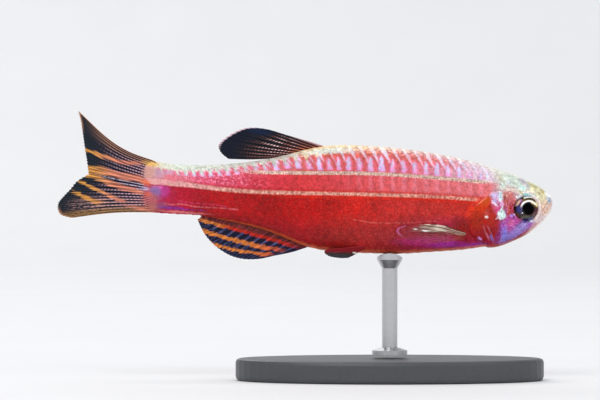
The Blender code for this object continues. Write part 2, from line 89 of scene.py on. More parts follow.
# %% [markdown]
# ## The datum
# x runs forward from the tail fin's root, y to the fish's left, and z up from the level of the snout's tip.
# The last step of every piece is the same: the tail is swept to one side, as in a swimming stroke, and the
# fish is lifted over the stand. One function does both, so that all the pieces stay together.

# %% From the fish's datum to the scene
SNOUT = 36.9
ROD_STATION = 22.1
AXIS_HEIGHT = 16.1
SWAY_START = 19.0
SWAY_AT_ROOT = 0.55
TAIL_FIN_LENGTH = 8.0
TAIL_FIN_MIDDLE = 1.5
LOBE_TWIST = 0.10


def place(points):
    """Millimetres on the fish's datum to metres in the scene.

    y gains the squared share of the way behind the sway's start, and the tail fin's lobes twist apart.
    """
    x, y, z = np.moveaxis(np.asarray(points, float), -1, 0)
    behind = np.clip((SWAY_START - x) / SWAY_START, 0, None)
    lobe = np.clip(-x / TAIL_FIN_LENGTH, 0, None)
    y = y + SWAY_AT_ROOT * behind**2 + LOBE_TWIST * lobe**2 * (z - TAIL_FIN_MIDDLE)
    return np.stack([x - ROD_STATION, y, z + AXIS_HEIGHT], axis=-1) * MM


print("the snout's tip sits at", place([SNOUT, 0, 0]).round(4))

# %% [markdown]
# ## Studio
# The fish is seen square from its right side, so the camera looks along +Y from a long way off with a long
# lens, which keeps the body's outline free of perspective. Four soft boxes and a pale world light it, and one
# small catch light reaches only the eyes, so that they look wet. The floor comes last.

# %% Camera
LENS = 200
SENSOR_WIDTH = 36
VIEW_WIDTH = 54.50
VIEW_CENTRE = (13.95, 0, 0.27)

camera_data = bpy.data.cameras.new("camera")
camera_data.lens = LENS
camera_data.sensor_width = SENSOR_WIDTH
camera_data.clip_start = 0.01
camera = bpy.data.objects.new("camera", camera_data)
bpy.context.scene.collection.objects.link(camera)
x, y, z = place(VIEW_CENTRE)
camera.location = (x, -VIEW_WIDTH * MM * LENS / SENSOR_WIDTH, z)
camera.rotation_euler = (math.pi / 2, 0, 0)
bpy.context.scene.camera = camera
print("camera at", [round(value, 4) for value in camera.location])


# %% Lights
FISH_MIDDLE = np.array([-0.005, 0, 0.017])
EYE_SPARK = (22.4, -21.4, -14.6)


def softbox(name, position, size, power):
    """A square area light that faces the fish's middle."""
    data = bpy.data.lights.new(name, "AREA")
    data.size = size
    data.energy = power
    light = bpy.data.objects.new(name, data)
    light.location = position
    dx, dy, dz = FISH_MIDDLE - position
    light.rotation_euler = (math.atan2(math.hypot(dx, dy), -dz), 0, math.atan2(-dx, dy))
    bpy.context.scene.collection.objects.link(light)
    return light


softbox("key", (-0.22, -0.46, 0.56), 0.32, 1.8)
softbox("fill", (0.42, -0.40, 0.30), 0.28, 0.4)
softbox("top", (0.02, 0.10, 0.72), 0.32, 1.4)
softbox("back", (-0.20, 0.52, 0.42), 0.30, 0.7)
catch_light = softbox("catch light", place(EYE_SPARK), 0.0032, 0.014)
catch_light.visible_diffuse = catch_light.visible_camera = False

world = bpy.data.worlds.new("studio")
world.use_nodes = True
world.node_tree.nodes["Background"].inputs["Color"].default_value = (0.93, 0.95, 1.0, 1)
world.node_tree.nodes["Background"].inputs["Strength"].default_value = 0.62
bpy.context.scene.world = world
bpy.context.scene.view_settings.view_transform = "Standard"

# %% [markdown]
# ## Paint as sums
# A finish is a tree of shader nodes, and most of it is arithmetic. It reads best as arithmetic: the small
# class below wraps a socket, and each operator on it adds the Math node that does the sum.


# %% Shader expressions
class Value:
    """A socket that takes part in Python sums."""

    def __init__(self, paint, socket):
        self.paint = paint
        self.socket = socket

    def __add__(self, other):
        return self.paint.maths("ADD", self, other)

    def __sub__(self, other):
        return self.paint.maths("SUBTRACT", self, other)

    def __rsub__(self, other):
        return self.paint.maths("SUBTRACT", other, self)

    def __mul__(self, other):
        return self.paint.maths("MULTIPLY", self, other)

    def __truediv__(self, other):
        return self.paint.maths("DIVIDE", self, other)

    def __abs__(self):
        return self.paint.maths("ABSOLUTE", self)

    __radd__ = __add__
    __rmul__ = __mul__


def colour(red, green, blue):
    """A colour from 0 to 255, as a screen shows it, made linear for the shader."""
    share = np.array([red, green, blue]) / 255
    linear = np.where(share <= 0.04045, share / 12.92, ((share + 0.055) / 1.055) ** 2.4)
    return (*linear.tolist(), 1.0)


# %% [markdown]
# Every other node comes from one method, node(): its kind, its settings, and what goes into its sockets.
# The paint also knows the fish's datum, so that a stripe can be given in the same millimetres as the body.
# Wherever it is handed a tuple as a colour, that is a screen colour from 0 to 255.


# %% The paint class
class Paint:
    """A material with one Principled shader, and Object coordinates in millimetres on the fish's datum."""

    def __init__(self, name, **even):
        self.material = bpy.data.materials.new(name)
        self.material.use_nodes = True
        self.tree = self.material.node_tree
        self.shader = self.tree.nodes["Principled BSDF"]
        for name, value in even.items():
            self.socket(name).default_value = value
        where = self.node("ShaderNodeTexCoord", out="Object")
        shift = (ROD_STATION, 0, -AXIS_HEIGHT)
        sockets = {"Vector": where, "Location": shift, "Scale": (1 / MM,) * 3}
        self.where = self.node("ShaderNodeMapping", sockets=sockets)
        self.x, _, self.z = self.parts(self.where)

    def socket(self, name):
        """The shader's input for a name such as Base_Color."""
        return self.shader.inputs[name.replace("_", " ")]

    def node(self, kind, settings=None, sockets=None, out=0):
        """Adds a node, makes its settings, fills its sockets and returns one of its outputs."""
        made = self.tree.nodes.new(kind)
        for key, value in (settings or {}).items():
            if key == "stops":
                while len(made.color_ramp.elements) < len(value):
                    made.color_ramp.elements.new(1.0)
                for element, (position, tint) in zip(made.color_ramp.elements, value):
                    element.position = position
                    element.color = tint
            elif key == "curve":
                points = made.mapping.curves[0].points
                while len(points) < len(value):
                    points.new(1.0, 0.0)
                for point, location in zip(points, value):
                    point.location = location
                made.mapping.update()
            else:
                setattr(made, key, value)
        for key, value in (sockets or {}).items():
            if isinstance(value, Value):
                self.tree.links.new(value.socket, made.inputs[key])
            else:
                made.inputs[key].default_value = value
        return Value(self, made.outputs[out])

    def maths(self, operation, first, second=0.0):
        """A Math node."""
        return self.node("ShaderNodeMath", {"operation": operation}, {0: first, 1: second})

    def parts(self, vector):
        """The three numbers of a vector."""
        return [self.node("ShaderNodeSeparateXYZ", sockets={0: vector}, out=i) for i in range(3)]

    def rise(self, value, low, high, top=1.0):
        """0 below low, top above high, and a smooth step between.

        The smooth step holds its own ends. The node's clamp would only take up room in the renderer's stack,
        which is too small for the largest paint here with it.
        """
        limits = {"Value": value, "From Min": low, "From Max": high, "To Max": top}
        return self.node("ShaderNodeMapRange", {"interpolation_type": "SMOOTHSTEP", "clamp": False}, limits)

    def fall(self, value, low, high, top=1.0):
        """top below low, 0 above high, and a smooth step between."""
        return self.rise(value, high, low, top)

    def mix(self, first, second, share):
        """From the first colour to the second."""
        first, second = (colour(*tint) if isinstance(tint, tuple) else tint for tint in (first, second))
        return self.node("ShaderNodeMix", {"data_type": "RGBA"}, {0: share, 6: first, 7: second}, out=2)

    def scaled(self, tint, amount):
        """A colour made darker or lighter by a number."""
        grey = self.node("ShaderNodeCombineColor", sockets={0: amount, 1: amount, 2: amount})
        settings = {"data_type": "RGBA", "blend_type": "MULTIPLY"}
        return self.node("ShaderNodeMix", settings, {0: 1.0, 6: tint, 7: grey}, out=2)

    def ramp(self, value, low, high, stops):
        """A colour ramp whose stops are placed between two values."""
        placed = [((at - low) / (high - low), colour(*tint)) for at, tint in stops]
        share = (value - low) / (high - low)
        return self.node("ShaderNodeValToRGB", {"stops": placed}, {0: share})

    def curve(self, value, line):
        """A smooth curve through (value, result) pairs."""
        line = sorted(line)
        starts, results = np.array(line, float).T
        low, high = results.min() - 1, results.max() + 1
        placed = [((a - starts[0]) / (starts[-1] - starts[0]), (b - low) / (high - low)) for a, b in line]
        share = (value - float(starts[0])) / float(starts[-1] - starts[0])
        drawn = self.node("ShaderNodeFloatCurve", {"curve": placed}, {"Value": share})
        return drawn * float(high - low) + float(low)

    def distance(self, x, z):
        """The length of a step in the side view: the root of x squared plus z squared."""
        return self.maths("SQRT", x * x + z * z)

    def noise(self, scale, detail=2.0, where=None, shift=None):
        """Soft noise from 0 to 1, scale lumps to the millimetre; a shift makes it a field of its own."""
        where = where or self.where
        if shift:
            where = self.node("ShaderNodeMapping", sockets={"Vector": where, "Location": shift})
        return self.node("ShaderNodeTexNoise", sockets={"Vector": where, "Scale": scale, "Detail": detail})

    def map_of(self, name):
        """The two numbers of one of the piece's own UV maps."""
        return self.parts(self.node("ShaderNodeUVMap", {"uv_map": name}))[:2]

    def luck(self, count):
        """A random number from 0 to 1 for each whole number that count is nearest to."""
        whole = self.maths("ROUND", count)
        return self.node("ShaderNodeTexWhiteNoise", {"noise_dimensions": "1D"}, {"W": whole})

    def held(self, name):
        """A number that the mesh carries at each point."""
        return self.node("ShaderNodeAttribute", {"attribute_name": name}, out="Fac")

    def streaks(self, u, v, across, along):
        """Noise drawn out along the rays of a fin: so many lumps across it, and so few along it."""
        stretched = self.node("ShaderNodeCombineXYZ", sockets={0: u * across, 1: v * along, 2: 0.0})
        return self.rise(self.noise(1.0, 2.0, where=stretched), 0.32, 0.68)

    def side(self, x, z):
        """A place on the side view as the vector (x, z, 1), so that one dot product also adds a constant."""
        return self.node("ShaderNodeCombineXYZ", sockets={0: x, 1: z, 2: 1.0})

    def patch(self, spot, centre, radii, lean=0.0, soft=0.35, top=1.0):
        """top inside a leaning ellipse of the side view, 0 outside, with a soft edge.

        The two dot products give the place along the ellipse's axes, in radii from its centre.
        """
        c, s = math.cos(math.radians(lean)), math.sin(math.radians(lean))
        own = []
        for (ax, az), radius in zip(((c, s), (-s, c)), radii):
            axis = (ax / radius, az / radius, -(ax * centre[0] + az * centre[1]) / radius)
            dot = {"operation": "DOT_PRODUCT"}
            own.append(self.node("ShaderNodeVectorMath", dot, {0: spot, 1: axis}, out=1))
        local = self.node("ShaderNodeCombineXYZ", sockets={0: own[0], 1: own[1]})
        gap = self.node("ShaderNodeVectorMath", {"operation": "LENGTH"}, {0: local}, out=1)
        return self.fall(gap, 1 - soft, 1 + soft, top)

    def patches(self, tint, spot, rows, share=None):
        """Lays a table of patches over a colour in order, each at its strength times the share, if given."""
        for centre, radii, lean, soft, strength, shade in rows:
            mask = self.patch(spot, centre, radii, lean, soft, strength)
            tint = self.mix(tint, shade, mask if share is None else mask * share)
        return tint

    def feed(self, **links):
        """Links values that change over the surface to the shader's sockets."""
        for name, value in links.items():
            self.tree.links.new(value.socket, self.socket(name))

    def bump(self, height, distance, strength=1.0):
        """A Bump node for a height from 0 to 1, its distance in millimetres."""
        sockets = {"Strength": strength, "Distance": distance * MM, "Height": height}
        self.tree.links.new(self.node("ShaderNodeBump", sockets=sockets).socket, self.shader.inputs["Normal"])


print("paint is ready")

# %% [markdown]
# ## Surfaces from grids
# A surface is a function of two parameters, worked out for a whole grid at once. Two helpers turn grids into
# meshes: one for a wrapped surface with a pole at each end, such as a body or an eye, and one for a thin
# plate made of a front and a back sheet, stitched round the rim, such as a fin or a scale.


# %% Grid helpers
def piece(name, points, groups, paint, maps=None, held=None, closed=True, sharp=None):
    """A mesh object at the origin: points in metres, groups of faces by corner count, UV maps and numbers.

    A closed mesh is turned to face outwards by the sign of its volume, the sum over its triangles of
    corner · (corner × corner).
    """
    points = points.reshape(-1, 3)
    volume = 0
    for group in groups:
        corners = points[group]
        for i in range(1, group.shape[1] - 1):
            volume += np.einsum("ij,ij->", corners[:, 0], np.cross(corners[:, i], corners[:, i + 1]))
    if closed and volume < 0:
        groups = [group[:, ::-1] for group in groups]
    faces = [face for group in groups for face in group.tolist()]
    mesh = bpy.data.meshes.new(name)
    mesh.from_pydata(points.tolist(), [], faces)
    corner = np.empty(len(mesh.loops), dtype=np.int32)
    mesh.loops.foreach_get("vertex_index", corner)
    for key, values in (maps or {}).items():
        layer = mesh.uv_layers.new(name=key)
        layer.data.foreach_set("uv", values.reshape(-1, 2)[corner].astype(np.float32).ravel())
    for key, values in (held or {}).items():
        layer = mesh.attributes.new(key, "FLOAT", "POINT")
        layer.data.foreach_set("value", np.asarray(values, np.float32).ravel())
    mesh.materials.append(paint.material)
    mesh.shade_smooth()
    if sharp is not None:
        mesh.set_sharp_from_angle(angle=math.radians(sharp))
    made = bpy.data.objects.new(name, mesh)
    bpy.context.scene.collection.objects.link(made)
    print(name, len(mesh.vertices), "points", len(mesh.polygons), "faces")
    return made


def wrapped_faces(rows, columns):
    """Faces of a grid that closes on itself across its columns, with a pole before and after its rows."""
    index = 1 + np.arange(rows * columns).reshape(rows, columns)
    after = np.roll(index, -1, axis=1)
    quads = np.stack([index[:-1], after[:-1], after[1:], index[1:]], axis=-1).reshape(-1, 4)
    first = np.stack([0 * index[0], after[0], index[0]], axis=-1)
    last = np.stack([0 * index[0] + rows * columns + 1, index[-1], after[-1]], axis=-1)
    return [quads, np.concatenate([first, last])]


def plate_faces(rows, columns):
    """Faces of a front sheet and a back sheet of the same grid, stitched round their rim."""
    front = np.arange(rows * columns).reshape(rows, columns)
    back = front + rows * columns
    sheet = np.stack([front[:-1, :-1], front[1:, :-1], front[1:, 1:], front[:-1, 1:]], axis=-1).reshape(-1, 4)
    rim = np.concatenate([front[:, 0], front[-1, 1:], front[-2::-1, -1], front[0, -2:0:-1]])
    after = np.roll(rim, -1)
    rims = np.stack([rim, rim + rows * columns, after + rows * columns, after], axis=-1)
    return [np.concatenate([sheet, (sheet + back[0, 0])[:, ::-1], rims])]


print("a plate of 3 by 3 points has", len(plate_faces(3, 3)[0]), "faces")

# %% [markdown]
# ## The body's form
# The body is a row of oval sections from the tail fin's root to the snout. Each row gives the height of back
# and belly, the half width, and how far up the widest point lies. A smooth curve runs through the rows, and
# each section is a superellipse, so the side view's outline is exactly the one that the rows give.

# %% Sections
SECTIONS = (
    (-0.48, 1.54, 1.54, 0.00, 0.50),
    (-0.40, 3.62, -0.62, 0.06, 0.50),
    (0.14, 3.84, -0.78, 0.22, 0.50),
    (0.90, 3.74, -0.91, 0.48, 0.50),
    (2.60, 3.53, -1.01, 0.80, 0.50),
    (4.90, 3.48, -1.15, 1.02, 0.51),
    (6.80, 3.53, -1.52, 1.18, 0.52),
    (8.60, 3.68, -1.90, 1.36, 0.53),
    (10.60, 3.94, -2.42, 1.56, 0.55),
    (12.50, 4.34, -3.15, 1.78, 0.56),
    (14.40, 4.86, -3.92, 2.02, 0.56),
    (16.20, 5.18, -4.33, 2.22, 0.56),
    (18.10, 5.27, -4.49, 2.38, 0.56),
    (20.30, 5.21, -4.58, 2.52, 0.56),
    (23.00, 4.98, -4.63, 2.62, 0.56),
    (25.70, 4.60, -4.47, 2.66, 0.56),
    (28.40, 4.07, -4.29, 2.63, 0.56),
    (30.30, 3.57, -4.05, 2.54, 0.56),
    (31.80, 3.09, -3.93, 2.42, 0.55),
    (33.16, 2.65, -3.51, 2.20, 0.54),
    (34.43, 2.11, -2.91, 1.90, 0.52),
    (35.50, 1.56, -2.17, 1.52, 0.50),
    (36.25, 1.03, -1.38, 1.10, 0.48),
    (36.72, 0.60, -0.74, 0.64, 0.46),
    (36.90, 0.00, 0.00, 0.00, 0.46),
)
FULLNESS_ABOVE = 2.05
FULLNESS_BELOW = 2.15


def through(points, share):
    """A smooth curve through points, at shares from 0 to 1: cubics, each slope from the points beside it."""
    points = np.asarray(points, float)
    slopes = np.gradient(points, axis=0)
    at = np.clip(np.asarray(share, float), 0, 1) * (len(points) - 1)
    left = np.clip(at.astype(int), 0, len(points) - 2)
    t = at - left
    if points.ndim > 1:
        t = t[..., None]
    start = (1 + 2 * t) * (1 - t) ** 2 * points[left] + t * (1 - t) ** 2 * slopes[left]
    end = t * t * (3 - 2 * t) * points[left + 1] + t * t * (t - 1) * slopes[left + 1]
    return start + end


DENSE_SHARE = np.linspace(0, 1, 6000)
DENSE = through(SECTIONS, DENSE_SHARE)


def body(share, turn):
    """A point of the body: share runs from tail to snout, turn is the angle round the section."""
    x, back, belly, half, widest = np.moveaxis(through(SECTIONS, share), -1, 0)
    level = belly + widest * (back - belly)
    across, up = np.cos(turn), np.sin(turn)
    power = np.where(up > 0, FULLNESS_ABOVE, FULLNESS_BELOW)
    reach = np.where(up > 0, back - level, level - belly)
    y = half * np.sign(across) * np.abs(across) ** (2 / power)
    z = level + reach * np.sign(up) * np.abs(up) ** (2 / power)
    return np.stack([x + 0 * y, y, z], axis=-1)


def share_at(x):
    """The share of the way along the body at a distance x."""
    return np.interp(x, DENSE[:, 0], DENSE_SHARE)


def section_at(x):
    """Back, belly, half width and the level of the widest point, at a distance x."""
    back, belly, half, widest = (np.interp(x, DENSE[:, 0], DENSE[:, i]) for i in range(1, 5))
    return back, belly, half, belly + widest * (back - belly)


def flank(x, z):
    """Half width of the body at a point of the side view: the superellipse solved for y."""
    back, belly, half, level = section_at(x)
    power = np.where(z > level, FULLNESS_ABOVE, FULLNESS_BELOW)
    reach = np.where(z > level, back - level, level - belly)
    rise = np.clip(np.abs(z - level) / np.maximum(reach, 1e-9), 0, 1)
    return half * (1 - rise**power) ** (1 / power)


def underside(x, y):
    """Height of the belly at a distance y from the middle: the superellipse solved for z."""
    _, belly, half, level = section_at(x)
    across = np.clip(np.abs(y) / half, 0, 1)
    return level - (level - belly) * (1 - across**FULLNESS_BELOW) ** (1 / FULLNESS_BELOW)


def outward(share, turn):
    """The body's normal: the cross product of its slopes round and along."""
    step, angle = 1e-4, 1e-3
    along = body(np.clip(share + step, 0, 1), turn) - body(np.clip(share - step, 0, 1), turn)
    around = body(share, turn + angle) - body(share, turn - angle)
    normal = np.cross(around, along)
    return normal / np.maximum(np.linalg.norm(normal, axis=-1, keepdims=True), 1e-12)


print("half width at mid body:", round(float(flank(23.0, 0.5)), 2), "mm")

# %% [markdown]
# ## The head's relief
# A fish's head is bone under thin skin, so its form shows as low steps and creases: the gill cover's free
# edge, the ridge in front of it, the mouth with its lips, nostril and orbit. Each is a short line or ring of
# the side view, and the skin is raised or sunk along its normal by the distance to it.

# %% Lines and rings of the head
HEAD_EDGE = (
    (31.45, 8.00), (31.55, 3.20), (31.62, 1.90), (31.40, 1.12), (30.55, 0.48), (29.75, -0.36), (29.28, -1.27),
    (29.15, -2.10), (29.42, -2.85), (30.10, -3.42), (30.75, -3.95), (30.95, -8.00),
)
CHEEK_RIDGE = ((32.42, 1.20), (32.36, 0.10), (32.22, -1.10), (31.85, -2.50), (31.42, -3.45))
GILL_CREASE = ((30.35, -1.90), (30.75, -2.70), (31.15, -3.35), (31.50, -3.80))
THROAT_CREASE = ((31.60, -3.62), (33.05, -3.10), (34.30, -2.45), (35.25, -1.78), (35.72, -1.20))
MOUTH_LINE = ((36.80, 0.46), (36.50, 0.20), (36.22, -0.12), (36.04, -0.42))
LIP_FOLD = ((36.52, 0.80), (36.20, 0.42), (35.92, 0.02), (35.80, -0.45), (35.86, -0.85))
JAW_FOLD = ((36.04, -0.42), (36.02, -0.80), (35.92, -1.15))
EYE_CENTRE = (34.40, -0.50)
EYE_RADIUS = 1.12
NOSTRIL = (35.62, 0.84)
FOLDS = (
    # line, how far forward it is drawn, height, width
    (CHEEK_RIDGE, 0.07, -0.045, 0.07), (CHEEK_RIDGE, -0.10, 0.045, 0.12), (GILL_CREASE, 0.0, -0.045, 0.06),
    (THROAT_CREASE, 0.0, -0.050, 0.07), (MOUTH_LINE, 0.0, 0.07, 0.24), (MOUTH_LINE, 0.0, -0.11, 0.045),
    (LIP_FOLD, 0.0, -0.02, 0.06), (JAW_FOLD, 0.0, -0.02, 0.06),
)


def rise(value, low, high):
    """0 below low, 1 above high, and a smooth step between."""
    t = np.clip((value - low) / (high - low), 0, 1)
    return t * t * (3 - 2 * t)


def bell(gap, width):
    """1 at no distance, falling off as a bell curve."""
    return np.exp(-((gap / width) ** 2))


def line_gap(x, z, line):
    """Distance of each side-view point from the nearest stretch of a smooth line."""
    dense = through(line, np.linspace(0, 1, 10 * len(line)))
    gap = np.full(np.shape(x), np.inf)
    for (ax, az), (bx, bz) in zip(dense[:-1], dense[1:]):
        dx, dz = bx - ax, bz - az
        t = np.clip(((x - ax) * dx + (z - az) * dz) / (dx * dx + dz * dz), 0, 1)
        gap = np.minimum(gap, np.hypot(x - ax - t * dx, z - az - t * dz))
    return gap


HEAD_EDGE_DENSE = through(HEAD_EDGE, np.linspace(0, 1, 200))[::-1]


def ahead_of_edge(x, z):
    """How far a point lies ahead of the head's rear edge, along x; negative on the trunk."""
    return x - np.interp(z, HEAD_EDGE_DENSE[:, 1], HEAD_EDGE_DENSE[:, 0])


def relief(points):
    """Height of the head's forms over the plain body, in mm."""
    x, _, z = np.moveaxis(points, -1, 0)
    ahead = ahead_of_edge(x, z)
    cover = 1 - rise(z, 0.7, 1.5)
    height = 0.07 * cover * rise(ahead, -0.06, 0.14) * (1 - rise(ahead, 0.7, 2.9))
    height -= 0.02 * cover * bell(ahead + 0.10, 0.09)
    height -= 0.03 * (1 - rise(ahead, -0.5, 0.2)) * rise(x, 0.3, 1.2)
    height += 0.01 * bell(ahead - 0.14, 0.08) * (1 - rise(z, 0.6, 1.2))
    height -= 0.16 * bell(np.hypot(x - 30.62, (z + 3.95) * 0.8), 0.30)
    for line, forward, step, width in FOLDS:
        height += step * bell(line_gap(x - forward, z, line), width)
    nostril = np.hypot(x - NOSTRIL[0], z - NOSTRIL[1])
    height += 0.06 * bell(nostril - 0.17, 0.06) - 0.15 * bell(nostril, 0.09)
    orbit = np.hypot(x - EYE_CENTRE[0], z - EYE_CENTRE[1])
    height -= 0.60 * (1 - rise(orbit, EYE_RADIUS - 0.06, EYE_RADIUS + 0.05))
    height += 0.045 * bell(orbit - EYE_RADIUS - 0.16, 0.10)
    return height


print("the gill cover's edge stands", round(float(relief(np.array([29.5, -2.5, -1.5]))), 3), "mm proud")

# %% [markdown]
# ## The skin's colours
# The strain's colours are layers, painted from the belly up: red flank, pinker band between the stripes,
# salmon back, pearly ridge, then the two cream stripes. Each layer changes along the body, so each is a
# colour ramp over x. The head is many small pearly patches over a pale ground, each an ellipse of the side
# view, and fine lines such as the rim of the gill cover are threads; a few of these are painted highlights,
# and one patch is a painted shadow under the eye. The scales wear the same paint as the skin beneath, and
# painted shade darkens their rear rims.

# %% Stripes and layers
UPPER_STRIPE = ((0.0, 3.10), (3.5, 3.15), (6.7, 3.02), (10.3, 2.80), (14.0, 2.72), (20.0, 2.66), (26.6, 2.24),
                (30.3, 1.92), (32.0, 1.78), (36.9, 1.0))
LOWER_STRIPE = ((-0.6, 2.08), (0.4, 1.99), (1.3, 1.90), (3.1, 1.73), (4.5, 1.55), (7.6, 1.18), (10.3, 1.00),
                (14.0, 0.90), (20.3, 0.77), (26.6, 0.54), (31.2, 0.18), (36.9, -0.3))
RIDGE_TINTS = ((0, (222, 190, 130)), (1.5, (216, 220, 192)), (3, (206, 226, 204)), (6, (206, 216, 200)),
               (9, (206, 208, 194)), (13, (198, 200, 184)), (15, (244, 212, 152)), (18, (250, 228, 170)),
               (22.5, (240, 218, 200)), (26, (234, 204, 204)), (30, (232, 216, 210)), (33, (226, 228, 206)),
               (36.9, (244, 240, 228)))
BACK_TINTS = ((0, (215, 170, 175)), (3, (230, 128, 152)), (7, (226, 108, 130)), (11, (214, 96, 104)),
              (14, (206, 88, 86)), (18, (208, 84, 84)), (24, (216, 98, 112)), (27, (222, 144, 162)),
              (29.5, (218, 188, 204)), (31.5, (216, 202, 210)))
BAND_TINTS = ((0, (205, 140, 150)), (2.5, (232, 100, 132)), (6, (226, 76, 108)), (10, (212, 52, 70)),
              (14, (214, 54, 60)), (19, (218, 74, 80)), (26, (222, 104, 110)), (31, (222, 112, 116)))
FLANK_TINTS = ((0, (180, 80, 96)), (1.2, (178, 36, 80)), (3, (176, 14, 44)), (6, (172, 4, 16)),
               (12, (170, 0, 2)), (15, (182, 2, 0)), (19, (198, 20, 12)), (24, (196, 40, 36)),
               (28, (186, 34, 26)), (31, (192, 24, 6)))
# The belly's own magenta and crimson, made darker than the flank as painted shade.
BELLY_TINTS_AND_SHADE = ((0, (160, 56, 62)), (2, (156, 36, 84)), (5, (150, 8, 50)), (9, (146, 4, 26)),
               (14, (160, 8, 22)), (18, (170, 30, 28)), (22, (166, 34, 38)), (27, (158, 26, 78)),
               (31, (150, 14, 74)))
# The last stop, on the top line of the head, is a painted rim highlight.
HEAD_TINTS = ((-1, (176, 30, 40)), (-0.5, (184, 40, 90)), (0.0, (206, 90, 120)), (0.45, (222, 206, 196)),
              (0.9, (210, 218, 200)), (1.0, (236, 236, 222)))
TRUNK_END = 32
ROOT_PATCHES = (
    # centre, radii, lean in degrees, softness, strength, colour
    ((0.2, 2.8), (0.62, 0.62), 0, 0.5, 0.85, (214, 160, 146)),
    ((0.35, 3.58), (0.72, 0.26), -12, 0.5, 0.9, (236, 184, 96)),
    ((0.25, 0.3), (0.75, 0.62), 0, 0.5, 0.85, (194, 104, 106)),
    ((0.05, 0.75), (0.36, 0.18), 0, 0.5, 0.85, (220, 100, 84)),
    ((0.3, -0.45), (0.8, 0.34), 0, 0.5, 0.8, (182, 110, 96)),
    ((-0.1, 1.88), (0.46, 0.22), -16, 0.5, 0.95, (240, 122, 82)),
    ((-0.2, 1.28), (0.42, 0.16), 0, 0.5, 0.9, (196, 168, 200)),
)
PATCHES = (
    # centre, radii, lean in degrees, softness, strength, colour
    # belly
    ((26.0, -3.45), (3.0, 0.42), 1, 0.6, 0.7, (188, 44, 128)),
    # breast
    ((27.6, -3.75), (1.9, 0.26), 3, 0.6, 0.6, (160, 50, 170)),
    # chest
    ((30.2, -3.45), (0.9, 0.32), 4, 0.6, 0.7, (190, 40, 130)),
    ((29.6, -3.78), (1.0, 0.2), 6, 0.6, 0.8, (165, 40, 170)),
    # a painted highlight
    ((30.25, -3.25), (0.25, 0.14), -30, 0.5, 0.85, (226, 160, 226)),
    # shoulder
    ((29.9, -0.9), (0.85, 1.35), -28, 0.35, 0.9, (222, 44, 2)),
    ((28.8, -2.5), (1.25, 1.05), 0, 0.6, 1.0, (142, 2, 6)),
    ((29.6, -3.1), (1.2, 0.5), 0, 0.6, 0.8, (146, 4, 30)),
    # tail stalk
    ((2.1, -0.42), (1.6, 0.16), -6, 0.6, 0.75, (128, 30, 136)),
    ((1.2, -0.2), (0.75, 0.3), 0, 0.6, 0.6, (150, 84, 120)),
    ((0.9, -0.66), (0.9, 0.14), -4, 0.5, 0.6, (120, 40, 40)),
    ((3.4, -0.86), (2.2, 0.1), -4, 0.5, 0.85, (230, 124, 124)),
    ((1.05, 2.66), (0.66, 0.36), -8, 0.6, 0.8, (186, 164, 198)),
    ((2.05, 2.78), (0.42, 0.2), 0, 0.6, 0.8, (216, 164, 204)),
    ((2.4, 2.24), (0.55, 0.26), -8, 0.5, 0.8, (232, 92, 124)),
    # root of the tail fin
    ((1.45, 1.1), (0.6, 0.55), 0, 0.6, 0.85, (192, 60, 146)),
    ((1.1, 1.46), (0.45, 0.16), 0, 0.5, 0.8, (208, 102, 172)),
    ((0.78, 1.02), (0.52, 0.46), 0, 0.5, 0.9, (136, 110, 170)),
    ((0.8, 0.42), (0.6, 0.2), 0, 0.6, 0.8, (168, 84, 126)),
    # band between the stripes
    ((2.2, 2.3), (1.8, 0.5), -6, 0.6, 0.4, (226, 150, 150)),
)
